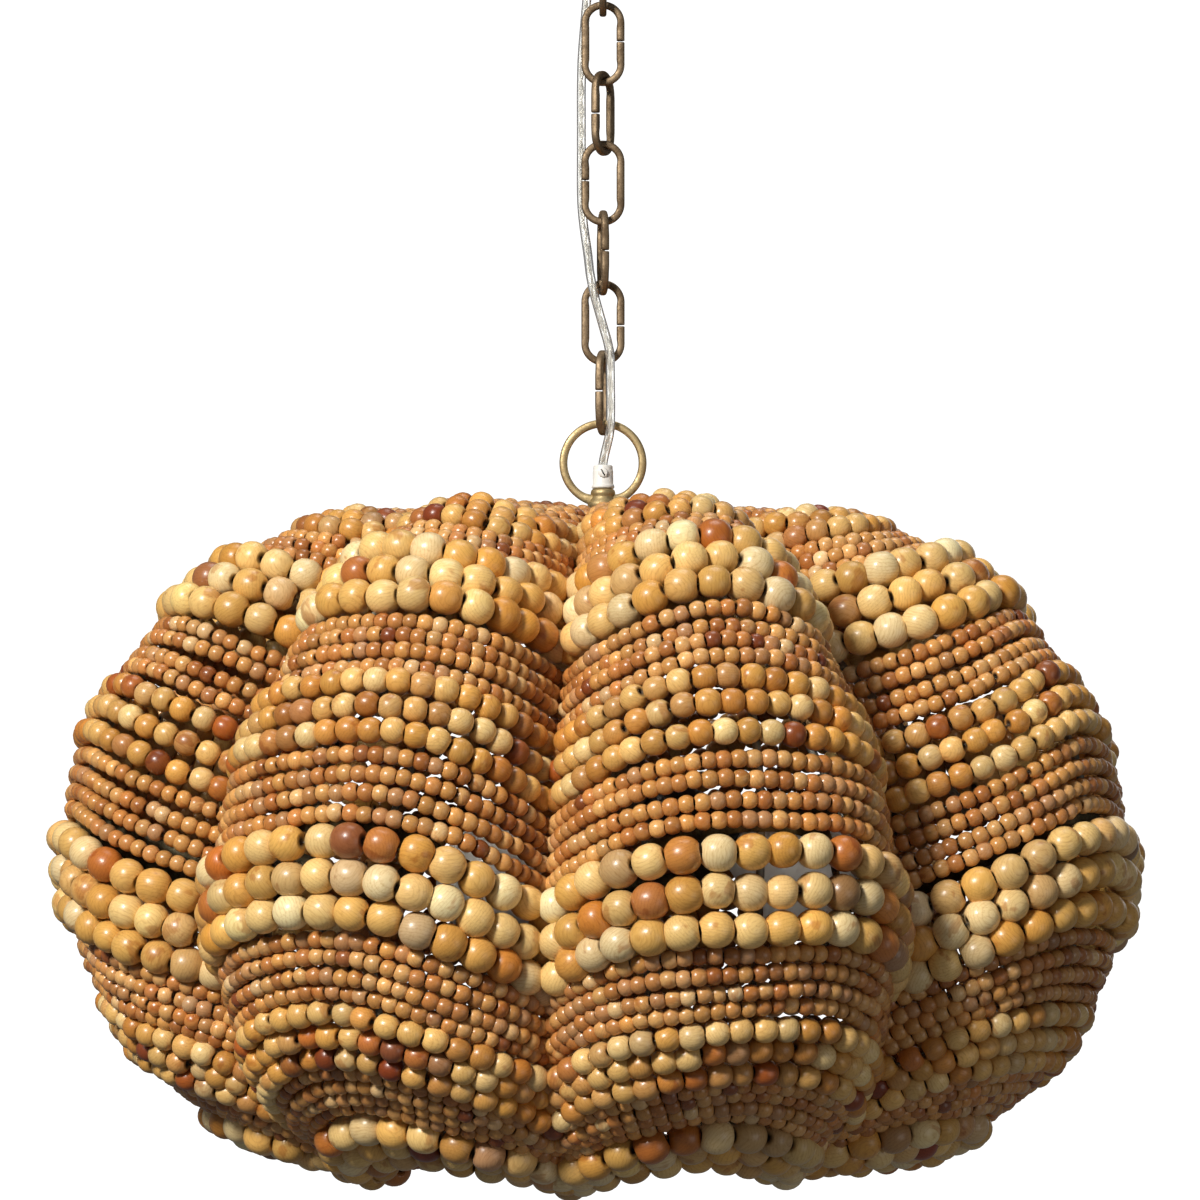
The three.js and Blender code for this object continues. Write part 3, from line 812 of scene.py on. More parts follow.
@dataclass
class Studio:
    """Camera, soft lights and a pale backdrop."""

    distance: float = 2.2
    above_equator: float = 0.030
    equator_height: float = -0.54649
    mm_per_pixel: float = 0.514
    frame_pixels: float = 1200.0
    axis_column: float = 603.0
    pitch_degrees: float = 2.87
    wall_radius: float = 9.0
    floor_height: float = -3.6
    wall_top: float = 7.0
    sky: float = 0.11

    def camera(self) -> None:
        """Puts the camera at the photograph's place."""
        data = bpy.data.cameras.new("camera")
        data.sensor_width = 36.0
        data.sensor_fit = "HORIZONTAL"
        metres_per_pixel = self.mm_per_pixel * MM
        data.lens = self.distance / metres_per_pixel / self.frame_pixels * data.sensor_width
        data.clip_end = 60.0
        camera = bpy.data.objects.new("camera", data)
        aside = -(self.axis_column - self.frame_pixels / 2) * self.mm_per_pixel * MM
        camera.location = (aside, -self.distance, self.equator_height + self.above_equator)
        camera.rotation_euler = (math.radians(90 + self.pitch_degrees), 0, 0)
        bpy.context.collection.objects.link(camera)
        bpy.context.scene.camera = camera

    def lamp(
        self, name: str, place: Sequence[float], size: float, power: float,
        colour: Rgb = (1.0, 1.0, 1.0),
    ) -> None:
        """Adds a square soft light aimed at the shade.

        Args:
            name: The light's name.
            place: Where it stands, in metres from the shade's middle.
            size: Its side, in metres.
            power: Its power in watts.
            colour: Its colour.
        """
        data = bpy.data.lights.new(name, "AREA")
        data.size = size
        data.energy = power
        data.color = colour
        light = bpy.data.objects.new(name, data)
        target = Vector((0, 0, self.equator_height))
        light.location = target + Vector(place)
        light.rotation_euler = (-Vector(place)).to_track_quat("-Z", "Y").to_euler()
        bpy.context.collection.objects.link(light)

    def _sheet(self, name: str, outline: Sequence[tuple[float, float]], paper: Backdrop) -> None:
        """Adds a sheet of paper that runs all round and isn't reflected in the shade.

        Args:
            name: Its name.
            outline: Radii and heights that it passes, in metres.
            paper: Its finish.
        """
        sheet = grid(rings_about_z(outline, 64)).build(name, [])
        sheet.data.materials.append(paper.material())
        sheet.visible_diffuse = False
        sheet.visible_glossy = False
        sheet.visible_shadow = False

    def backdrop(self) -> None:
        """Adds the floor and the glowing wall round it."""
        floor, wall = self.floor_height, self.wall_radius
        self._sheet("floor", [(0.01, floor), (wall, floor)],
                    Backdrop("floor_paper", (0.8, 0.8, 0.79), 0.7))
        self._sheet("wall", [(wall, floor), (wall, self.wall_top)],
                    Backdrop("wall_paper", (0.86, 0.86, 0.85), 1.0))

    def build(self) -> None:
        """Adds the lights, the backdrop and the sky."""
        self.lamp("key", (-1.5, -2.35, 1.65), 0.6, 120, (1.0, 0.965, 0.92))
        self.lamp("fill", (2.4, -2.4, -0.3), 1.8, 9, (0.98, 0.98, 1.0))
        self.lamp("top", (0.2, 0.3, 2.6), 1.4, 20)
        self.lamp("back", (1.2, 2.9, 0.9), 2.0, 9)
        world = bpy.data.worlds.new("studio")
        world.use_nodes = True
        background = world.node_tree.nodes["Background"]
        background.inputs["Color"].default_value = (1.0, 1.0, 1.0, 1.0)
        background.inputs["Strength"].default_value = self.sky
        scene = bpy.context.scene
        scene.world = world
        scene.view_settings.view_transform = "Standard"
        self.backdrop()


# Lamp cord


@dataclass
class LampCord:
    """Clear lamp cord with two tinned conductors, in one stretch for each joint of the chain."""

    diameter: float = 4.8
    conductor_offset: float = 1.06
    twist_pitch: float = 21.0
    strand: float = 0.92
    strand_offset: float = 0.56
    strand_pitch: float = 8.0
    strand_count: int = 4
    step: float = 0.9
    jacket_sides: int = 20
    strand_sides: int = 6
    route: tuple[tuple[float, float, float], ...] = (
        (0, 0, -346.4), (0, 0, -341.5), (0, 0, -336.4), (0.9, -1, -331.2), (2.3, -3, -325.6),
        (3.5, -4.6, -320), (3.9, -5.1, -313.5), (4, -5.1, -305), (3.9, -5.1, -296),
        (3.8, -5.1, -287), (3.5, -5.1, -279.5), (2.3, -5.1, -273), (0.3, -5.1, -266),
        (-1.8, -5.1, -258.5), (-3.9, -5.1, -251), (-5.4, -5, -244.5), (-6.6, -3.6, -238),
        (-7.3, -1.2, -232), (-8, 1.4, -226), (-8.9, 3.6, -219.5), (-9.9, 5, -212),
        (-10.8, 5.2, -203), (-11.2, 5.2, -193), (-11.2, 5.2, -175), (-11.2, 5.2, -157),
        (-11.2, 5.2, -140), (-10.8, 5.2, -124), (-9.6, 5.2, -108), (-8.3, 5.2, -93),
        (-7.2, 5.2, -80), (-6.2, 5.2, -70), (-5, 5, -62), (-2.9, 3.5, -54.5), (-0.9, 1.2, -47.5),
        (0, 0, -41), (0, 0, -35),
    )

    def build(self, link_heights: Sequence[float]) -> None:
        """Makes the stretches from the grip up to the canopy's loop.

        Args:
            link_heights: Height of each link's middle, from the first link down, in millimetres.
        """
        line = smooth_curve(self.route, 24)
        arc = run_along(line)
        cuts = [0.0, *np.interp(link_heights[::-1], line[:, 2], arc).tolist(), arc[-1]]
        LOG.info("lamp cord: %.1f mm along its route", arc[-1])
        for number, (start, end) in enumerate(zip(cuts, cuts[1:])):
            at = np.linspace(start, end, max(8, round((end - start) / self.step)))
            path = np.stack([np.interp(at, arc, line[:, k]) for k in range(3)], -1)
            self._stretch(number, path, at)

    def _stretch(self, number: int, path: np.ndarray, at: np.ndarray) -> None:
        """Makes one stretch of the cord.

        Args:
            number: Its number from the grip up.
            path: Its centreline, in millimetres.
            at: Distance along the whole cord at each point.
        """
        turn = TAU * at / self.twist_pitch
        centre = self.conductor_offset * np.stack([np.cos(turn), np.sin(turn), 0 * turn], -1)
        jacket = swept(path * MM, self.diameter / 2 * MM, self.jacket_sides, capped=False)
        strands = []
        for side in (1, -1):
            for n in range(self.strand_count):
                own = TAU * (at / self.strand_pitch + n / self.strand_count)
                offset = self.strand_offset * np.stack([np.cos(own), np.sin(own), 0 * own], -1)
                line = (path + side * centre + offset) * MM
                strand = swept(line, self.strand / 2 * MM, self.strand_sides, capped=False)
                strands.append(strand.finished(1))
        piece = put(together([jacket, *strands]), f"lamp_cord_{number + 1}",
                    [Finish.JACKET, Finish.TINNED], None, ["lamp_cord"])
        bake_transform(piece)


# Chain, ring and ceiling pieces


def threaded(low: float, high: float, radius: float = 4.0, bore: float = 2.7) -> Form:
    """Threaded tube between two heights, in millimetres.

    Args:
        low: Height of its lower end.
        high: Height of its upper end.
        radius: Radius over the threads.
        bore: Radius of its hole.

    Returns:
        The tube.
    """
    outside: Profile = [(bore, low), (radius - 0.3, low)]
    height = low + 0.4
    while height < high - 0.9:
        outside += [(radius, height + 0.25), (radius - 0.35, height + 0.75)]
        height += 1.0
    return turned(outside + [(radius - 0.3, high), (bore, high)], 40, 0.05, closed=True)


def hex_nut(low: float, high: float, across: float = 14.0, bore: float = 4.3) -> Form:
    """Hexagon nut with chamfered corners, between two heights, in millimetres.

    Args:
        low: Height of its lower face.
        high: Height of its upper face.
        across: Width across its flats.
        bore: Radius of its hole.

    Returns:
        The nut.
    """
    turn = np.linspace(0, TAU, 96, endpoint=False)
    flat = across / 2 / np.cos((turn + math.pi / 6) % (math.pi / 3) - math.pi / 6)
    chamfer = np.minimum(flat, across / 2 * 1.02)
    rims = [
        (bore, low), (chamfer - 0.2, low), (flat, low + 0.5), (flat, high - 0.5),
        (chamfer - 0.2, high), (bore, high),
    ]
    return grid(rings_about_z(rims, 96) * MM, closed=True)


@dataclass
class Chain:
    """Oval links of squared wire, each with the open butt of its bend."""

    count: int = 7
    length: float = 44.2
    width: float = 22.4
    wire: float = 3.8
    first_height: float = -81.4
    pitch: float = 36.3
    twists: tuple[float, ...] = (0, 0, -25, 0, 7, 0, -12)
    butts: tuple[tuple[int, float], ...] = (
        (-1, 0.5), (1, 1.1), (-1, -1.3), (-1, 1.3), (-1, 0.0), (1, -1.5), (-1, 0.2),
    )
    butt_gap: float = 0.9
    butt_bevel: tuple[float, ...] = (0.0, 0.18, 1.2)
    butt_wear: float = 0.9
    leg_swell: float = 0.2
    swell_reach: float = 8.0
    swell_ease: float = 4.0

    @property
    def heights(self) -> list[float]:
        """Height of each link's middle, in millimetres."""
        return [self.first_height - i * self.pitch for i in range(self.count)]

    def _link(self, side: int, height: float) -> Form:
        """One link in the XZ plane about its middle, open at its butt.

        Args:
            side: -1 or 1, for the leg that the butt is in.
            height: Height of the butt above the middle, in millimetres.

        Returns:
            The link.
        """
        radius = (self.width - self.wire) / 2 * MM
        path = oval_path(radius / MM, self.length - self.width, 24)
        leg = np.abs(path[:, 2]) < (self.length - self.width) / 2 * MM - 1e-6
        here = np.abs(path[:, 0] - side * radius) < 1e-6
        lower, upper = (height - self.butt_gap / 2) * MM, (height + self.butt_gap / 2) * MM
        margin = 1.5 * MM
        keep = ~(leg & here & (path[:, 2] > lower - margin) & (path[:, 2] < upper + margin))
        first = int(np.flatnonzero(~keep)[-1]) + 1
        order = np.roll(np.arange(len(path)), -first)
        path = path[order][keep[order]]
        x = path[0][0]
        falls = path[0][2] < 0
        near, far = (lower, upper) if falls else (upper, lower)
        step = -1 if falls else 1
        start = [(x, 0, near + step * s * MM) for s in self.butt_bevel]
        end = [(x, 0, far - step * s * MM) for s in self.butt_bevel[::-1]]
        path = np.concatenate([start, path, end])
        bend = np.clip((np.abs(path[:, 2]) / MM - self.swell_reach) / self.swell_ease, 0, 1)
        swell = self.leg_swell * (1 - bend * bend * (3 - 2 * bend))
        path[:, 0] -= np.sign(path[:, 0]) * swell * MM
        size = (self.wire / 2 + swell) * MM
        size[[0, -1]] *= self.butt_wear
        return swept(path, size, 24, across=XZ_NORMAL, squareness=3.0)

    def build(self) -> None:
        """Makes every link at its place."""
        for i, (height, butt) in enumerate(zip(self.heights, self.butts)):
            turn = math.radians((0 if i % 2 else 90) + self.twists[i])
            place = Matrix.Translation((0, 0, height * MM)) @ Matrix.Rotation(turn, 4, "Z")
            node = f"chain_link_{i + 1}"
            put(self._link(*butt).moved(place), f"{node}_wire", Finish.BRASS, f"link_{i + 1}",
                [node])


@dataclass
class HangingRing:
    """The shade's ring, its flared web and barrel collar, and the cord grip inside it."""

    centre: float = -335.5
    diameter: float = 45.0
    wire: float = 4.2
    collar_foot: float = -24.5
    collar_height: float = 11.1
    tube_diameter: float = 8.0
    grip_height: float = 12.0
    web_reach: float = 0.36
    web_widening: float = 0.75
    web_lift: float = 0.9
    screw_height: float = 7.8

    @property
    def seat(self) -> float:
        """Height of the grip's flange above the ring's middle, in millimetres."""
        return self.collar_foot + self.collar_height + 0.3

    def _ring(self) -> Form:
        """Cast ring that widens into the collar at its foot.

        Returns:
            The ring, about its own middle.
        """
        radius = (self.diameter - self.wire) / 2
        path = circle_path(radius, 60)
        turn = np.linspace(0, TAU, len(path), endpoint=False)
        from_foot = np.abs((turn - 1.5 * math.pi + math.pi) % TAU - math.pi)
        web = np.exp(-((from_foot / self.web_reach) ** 2))
        widen = 1 + self.web_widening * web
        path = path * (1 - (self.web_lift * web / radius)[:, None])
        return swept(path, self.wire / 2 * MM * widen, 24, closed=True, across=XZ_NORMAL,
                     squareness=2.8)

    def _collar(self) -> Form:
        """Barrel collar with a bead round its waist.

        Returns:
            The collar, about the ring's middle.
        """
        low, high = self.collar_foot, self.collar_foot + self.collar_height
        bore = self.tube_diameter / 2 + 0.3
        profile = [
            (bore, low), (6.9, low), (7.3, low + 1.2), (8.1, low + 3), (7.4, low + 4.6),
            (6.0, low + 6.4), (5.9, low + 7.4), (6.4, low + 8.2), (6.4, low + 9.6), (5.5, high),
            (bore, high),
        ]
        return turned(profile, 56, 0.45, closed=True)

    def _grip(self) -> Form:
        """Moulded grip: flange, body with a stepped top and a boss for the clamping screw.

        Returns:
            The grip, about the ring's middle.
        """
        seat = self.seat
        top = seat + self.grip_height
        profile = [
            (0, seat - 3), (3.8, seat - 3), (3.8, seat), (5.9, seat), (5.9, seat + 1.5),
            (5.35, seat + 2.0), (5.3, top - 3.0), (5.05, top - 2.6), (5.05, top - 0.7), (4.5, top),
            (2.75, top), (2.65, top - 9.8), (0, top - 9.8),
        ]
        return turned(profile, 56, 0.3)

    def _screw(self) -> Form:
        """Round screw head about its own axis."""
        return turned([(0, -3.0), (2.5, -3.0), (2.5, 0.4), (2.2, 0.9), (0, 0.9)], 36, 0.2)

    def _painted_screw_slot_shade(self) -> Form:
        """Painted shade of the head's slot: a dark sheet that stands just over the screw's head.

        Returns:
            The painted slot shade, about the screw's axis.
        """
        corners = ((-0.35, -1.9), (0.35, -1.9), (0.35, 1.9), (-0.35, 1.9))
        slot_shade = grid(np.array([[(x, y, z) for x, y in corners] for z in (0.82, 0.95)]) * MM)
        slot_shade.faces.append(np.array([[4, 5, 6, 7]]))
        return slot_shade

    def build(self) -> None:
        """Makes the ring, the grip, the grip's screw and the painted shade of its slot."""
        up = Matrix.Translation((0, 0, self.centre * MM))
        put(together([self._ring(), self._collar()]).moved(up), "hanging_ring", Finish.GREEN_BRASS,
            SHADE, ["ring_loop"])
        put(self._grip().moved(up), "cord_grip_body", Finish.WHITE_PLASTIC, SHADE, ["cord_grip"])
        spot = Matrix.Translation((0, -5.3 * MM, (self.seat + self.screw_height) * MM))
        aim = up @ spot @ Matrix.Rotation(math.pi / 2, 4, "X")
        put(self._screw().moved(aim), "grip_screw", Finish.WHITE_PLASTIC, SHADE, ())
        # Painted shade: a dark sheet over the screw's head stands for the shade in its slot.
        put(self._painted_screw_slot_shade().moved(aim @ Matrix.Rotation(0.5, 4, "Z")), "grip_screw_slot_painted_shade",
            Finish.BLACK_PLASTIC, SHADE, ())


@dataclass
class CeilingFitting:
    """Spun canopy, its loop, and the crossbar, nipple, nut and screws inside it."""

    canopy_radius: float = 63.5
    canopy_depth: float = 28.0
    wall: float = 1.2
    loop_centre: float = -50.4
    loop_diameter: float = 34.0
    loop_wire: float = 4.0
    collar_top: float = 22.1
    collar_height: float = 10.0
    bar_half: float = 51.0
    bar_width: float = 9.5
    bar_thick: float = 2.5
    bar_bevel: float = 0.3
    slot_places: tuple[float, ...] = (-35.0, 35.0)
    # Heights of the painted shade blocks in the slots, just past the bar's faces.
    slot_shade_faces: tuple[float, ...] = (-2.56, 0.06)

    def _canopy(self) -> Form:
        """Bowl with a rolled rim and a stepped foot round its hole.

        Returns:
            The bowl, with its rim at height 0.
        """
        r, d, w = self.canopy_radius, self.canopy_depth, self.wall
        outside = [
            (4.3, -d), (9.5, -d), (10.5, -0.955 * d), (0.4 * r, -0.915 * d),
            (0.62 * r, -0.83 * d), (0.8 * r, -0.66 * d), (0.91 * r, -0.44 * d),
            (0.965 * r, -0.2 * d), (0.97 * r, -0.09 * d), (r, -0.06 * d), (r, 0),
        ]
        inside = [
            (r - w, 0), (0.97 * r - w, -0.1 * d), (0.965 * r - w, -0.2 * d),
            (0.91 * r - w, -0.44 * d + w / 2), (0.8 * r - w / 2, -0.66 * d + w),
            (0.62 * r, -0.83 * d + w), (0.4 * r, -0.915 * d + w), (4.3, w - d),
        ]
        return turned(outside + inside, 96, 0.8, closed=True)

    def _loop(self) -> Form:
        """Loop with a ribbed screw collar.

        Returns:
            The loop and its collar, about the loop's middle.
        """
        ring = swept(circle_path((self.loop_diameter - self.loop_wire) / 2, 48),
                     self.loop_wire / 2 * MM, 18, closed=True, across=XZ_NORMAL)
        top = self.collar_top
        low = top - self.collar_height
        profile = [
            (2.7, low), (6.1, low), (6.5, low + 1.4), (7.4, low + 2.4), (7.4, low + 3.6),
            (6.3, low + 4.6), (6.2, low + 6.2), (7.4, low + 7.4), (7.45, top), (4.3, top),
            (4.3, top - 5.3), (2.7, top - 5.3),
        ]
        return together([ring, turned(profile, 56, 0.35, closed=True)])

    def _crossbar(self) -> Form:
        """Pressed strip with round ends, bevelled along its outline.

        Returns:
            The strip, with its upper face at height 0.
        """
        thick, bevel = self.bar_thick, self.bar_bevel
        outline = self._stadium(self.bar_half - self.bar_width, self.bar_width, 17)
        inset = outline - bevel * outline / np.linalg.norm(outline, axis=1)[:, None]
        return self._stacked([(inset, -thick), (outline, bevel - thick), (outline, -bevel),
                              (inset, 0.0)])

    def _painted_slot_shades(self) -> list[Form]:
        """Painted shade in the crossbar's two slots: dark blocks that fill them, just proud of its
        lower and upper faces.

        Returns:
            One form for each slot.
        """
        outline = self._stadium(5.7, 2.3, 9)
        return [
            self._stacked([(outline + [side, 0], z) for z in self.slot_shade_faces])
            for side in self.slot_places
        ]

    @staticmethod
    def _stadium(reach: float, radius: float, steps: int) -> np.ndarray:
        """Outline of a round-ended strip.

        Args:
            reach: Distance from its middle to the middle of each end.
            radius: Radius of its ends.
            steps: Points round each end.

        Returns:
            The outline's points.
        """
        turn = np.linspace(-math.pi / 2, math.pi / 2, steps)
        right = np.stack([reach + radius * np.cos(turn), radius * np.sin(turn)], -1)
        return np.concatenate([right, right * [-1, -1]])

    @staticmethod
    def _stacked(levels: Sequence[tuple[np.ndarray, float]]) -> Form:
        """A capped block through outlines and their heights, in millimetres.

        Args:
            levels: Outlines and their heights, from the lowest up.

        Returns:
            The block.
        """
        rows = np.array([np.column_stack([xy, np.full(len(xy), z)]) for xy, z in levels]) * MM
        form = grid(rows)
        count = rows.shape[1]
        ring = np.arange(count)
        form.faces += [ring[::-1][None], ((len(levels) - 1) * count + ring)[None]]
        return form

    def _screw(self) -> Form:
        """Pan-head screw with rolled threads.

        Returns:
            The screw about its own axis, with its head down.
        """
        profile: Profile = [
            (0, -5.4), (2.4, -5.3), (3.6, -4.7), (4.0, -3.8), (4.0, -2.8), (1.95, -2.8),
        ]
        height = -2.4
        while height < 9.2:
            profile += [(1.7, height), (1.98, height + 0.35)]
            height += 0.7
        profile += [(1.5, 10.0), (0, 10.0)]
        return turned(profile, 28, 0.1)

    def build(self) -> None:
        """Makes every piece of the ceiling side."""
        up = Matrix.Translation((0, 0, self.loop_centre * MM))
        put(self._canopy(), "canopy_bowl", Finish.BRASS, CEILING, ["canopy"])
        put(self._loop().moved(up), "canopy_loop_ring", Finish.BRASS, CEILING, ["canopy_loop"])
        # Painted shade: dark blocks fill the crossbar's slots in place of the shade inside them.
        bar = together([self._crossbar(), *(s.finished(1) for s in self._painted_slot_shades())])
        put(bar, "crossbar_strip", [Finish.STEEL, Finish.BLACK_PLASTIC], CEILING, ["crossbar"])
        for side, node in zip(self.slot_places, ("box_screw_left", "box_screw_right")):
            place = Matrix.Translation((side * MM, 0, 0))
            put(self._screw().moved(place), f"{node}_body", Finish.STEEL, CEILING, [node])
        put(threaded(-33.3, -0.3), "nipple_tube", Finish.STEEL, CEILING, ["nipple"])
        put(hex_nut(-6.4, -2.8), "nipple_hex_nut", Finish.STEEL, CEILING, ["nipple_nut"])


# Shade


class BeadSize(Enum):
    """The three sizes of bead.

    Each has its string's thickness on the cage, the row pitch as a share of it, the bead's own
    diameter and spacing along the string, and how far the string sways, all in millimetres but
    the share.
    """

    SMALL = (8.0, 1.14, 8.6, 7.15, 0.8)
    MEDIUM = (12.6, 1.04, 12.4, 11.2, 0.75)
    LARGE = (17.8, 0.96, 17.0, 15.4, 0.8)

    @property
    def thickness(self) -> float:
        """The string's thickness on the cage in millimetres."""
        return self.value[0]

    @property
    def pitch(self) -> float:
        """Row pitch before the rows are fitted to the cage, in millimetres."""
        return self.value[0] * self.value[1]

    @property
    def diameter(self) -> float:
        """The bead's diameter in millimetres."""
        return self.value[2]

    @property
    def spacing(self) -> float:
        """Distance from bead to bead along the string, in millimetres."""
        return self.value[3]

    @property
    def sway(self) -> float:
        """How far the string wanders between the ribs, in millimetres."""
        return self.value[4]

    @property
    def word(self) -> str:
        """The size's word in names."""
        return self.name.lower()


@dataclass
class Row:
    """One string's place: its band, size and share along the crest line."""

    number: int
    band: int
    size: BeadSize
    share: float


@dataclass
class CageSurface:
    """The lobed surface that the strings lie on, about the equator, in millimetres."""

    radius: float = 269.0
    rise: float = 181.0
    fall: float = 140.0
    lobes: int = 8
    first_valley: float = -7.0
    fullness: float = 3.0
    mitre: float = 1.3
    valley_drop: float = 33.0
    crest_shares: tuple[tuple[float, float], ...] = (
        (0.127, 0.99), (0.26, 0.986), (0.392, 0.978), (0.513, 0.952), (0.623, 0.9), (0.707, 0.826),
        (0.784, 0.735), (0.854, 0.637), (0.914, 0.517), (0.966, 0.388), (0.995, 0.252), (1, 0.112),
        (0.993, -0.032), (0.975, -0.243), (0.931, -0.418), (0.872, -0.588), (0.797, -0.722),
        (0.71, -0.817), (0.612, -0.885), (0.51, -0.925), (0.415, -0.935),
    )
    valley_radius: tuple[tuple[float, float], ...] = (
        (0, 0.85), (0.1, 0.6), (0.2, 0.52), (0.33, 0.6), (0.45, 0.71), (0.58, 0.775), (0.72, 0.785),
        (0.85, 0.78), (1, 0.78),
    )
    valley_dip: tuple[tuple[float, float], ...] = (
        (0, 0.1), (0.1, 0.24), (0.2, 0.5), (0.3, 0.75), (0.36, 0.93), (0.45, 1.12), (0.52, 1.17),
        (0.6, 1.13), (0.68, 1.04), (0.8, 0.76), (0.9, 0.38), (1, 0.1),
    )

    def __post_init__(self) -> None:
        """Lays out the crest line by its length."""
        scaled = [
            (r * self.radius, z * (self.rise if z > 0 else self.fall)) for r, z in self.crest_shares
        ]
        self.line = smooth_curve(scaled, 60)
        steps = np.linalg.norm(np.diff(self.line, axis=0), axis=1)
        self.arc = run_along(self.line) / steps.sum()

    def crest(self, share: np.ndarray) -> np.ndarray:
        """Radius and height of the crest line at shares of its length."""
        held = np.clip(share, 0, 1)
        return np.stack([np.interp(held, self.arc, self.line[:, k]) for k in (0, 1)], -1)

    def normal(self, share: np.ndarray) -> np.ndarray:
        """Outward normal of the crest line, as radius and height.

        Args:
            share: Shares of the line's length.

        Returns:
            Unit vectors.
        """
        step = 0.006
        along = self.crest(np.minimum(share + step, 1)) - self.crest(np.maximum(share - step, 0))
        along /= np.linalg.norm(along, axis=-1, keepdims=True)
        return np.stack([-along[..., 1], along[..., 0]], -1)

    def outline(self, share: float, across: np.ndarray, stand_off: float = 0.0) -> np.ndarray:
        """Radius and height of a line round a lobe.

        Args:
            share: Share of the crest line.
            across: -1 and 1 at the lobe's valleys, 0 on its crest.
            stand_off: Distance outwards from the surface at the crest.

        Returns:
            Radius and height for each place across.
        """
        crest, normal = self.crest(np.array(share)), self.normal(np.array(share))
        share_in = np.interp(share, *np.array(self.valley_radius).T)
        dip = self.valley_drop * np.interp(share, *np.array(self.valley_dip).T)
        away = np.abs(across)
        top = crest[0] + stand_off * normal[0]
        bottom = crest[0] * share_in + self.mitre * stand_off * normal[0]
        radius = bottom + (top - bottom) * (1 - away**self.fullness)
        height = crest[1] + stand_off * normal[1] - dip * away**2
        return np.stack([radius, height], -1)

    def angle(self, turn: np.ndarray) -> np.ndarray:
        """Angle from the front towards +X, in radians, at a turn counted in lobes."""
        return np.radians(self.first_valley) + np.asarray(turn) * TAU / self.lobes

    def around(self, turn: np.ndarray, outline: np.ndarray) -> np.ndarray:
        """Points in millimetres from turns in lobes and their radius and height.

        Args:
            turn: Turns in lobes from the first valley.
            outline: Radius and height at each turn.

        Returns:
            Points about the equator's middle.
        """
        angle = self.angle(turn)
        return np.stack(
            [outline[..., 0] * np.sin(angle), -outline[..., 0] * np.cos(angle), outline[..., 1]], -1
        )


@dataclass
class Palette:
    """Tones of one size of bead and how often each comes."""

    tones: tuple[tuple[str, float], ...]
    spread: float = 0.09

    def pick(self, rng: np.random.Generator, count: int) -> np.ndarray:
        """Picks a tone for each bead.

        Args:
            rng: The seeded source.
            count: Number of beads.

        Returns:
            Linear colours, one row a bead.
        """
        colours = np.array([linear(c) for c, _ in self.tones])
        weights = np.array([w for _, w in self.tones])
        chosen = colours[rng.choice(len(colours), count, p=weights / weights.sum())]
        other = colours[rng.choice(len(colours), count, p=weights / weights.sum())]
        share = rng.uniform(0, 0.4, (count, 1))
        mixed = chosen * (1 - share) + other * share
        bright = np.exp(rng.normal(0, self.spread, (count, 1)))
        warm = np.exp(rng.normal(0, self.spread / 3, (count, 1)) * np.array([[0.4, 0, -1.2]]))
        return np.clip(mixed * bright * warm, 0.004, 0.9)


PALETTES: dict[BeadSize, Palette] = {
    BeadSize.LARGE: Palette((
        ("e8c47e", 30), ("dfae5c", 26), ("efd8a4", 17), ("d59a44", 12), ("c8a26c", 6),
        ("b96a28", 6), ("83381a", 2.6), ("5a1c10", 1.4),
    )),
    BeadSize.MEDIUM: Palette((
        ("e0b56c", 24), ("d39c4c", 24), ("e8ca8c", 16), ("c6863c", 14), ("bd8c52", 10),
        ("ab5c24", 9), ("7a3216", 4),
    )),
    BeadSize.SMALL: Palette((
        ("cd9552", 30), ("bd7d42", 26), ("d8a666", 22), ("bb8a5c", 12), ("a66834", 12),
        ("e0bc86", 5), ("7c3e20", 2.5),
    ), 0.1),
}


def grid_uvs(along: np.ndarray, across: np.ndarray) -> np.ndarray:
    """Corner coordinates of the quads of a grid whose faces are turned over.

    Args:
        along: First coordinate of each row of points.
        across: Second coordinate of each point in a row, and once more where the row closes.

    Returns:
        Quads by corners by coordinates.
    """
    i, j = np.meshgrid(np.arange(len(along) - 1), np.arange(len(across) - 1), indexing="ij")
    quad = [(i, j), (i, j + 1), (i + 1, j + 1), (i + 1, j)]
    uvs = np.stack([np.stack([along[a], across[b]], -1) for a, b in quad], 2)
    return uvs.reshape(-1, 4, 2)[:, ::-1]


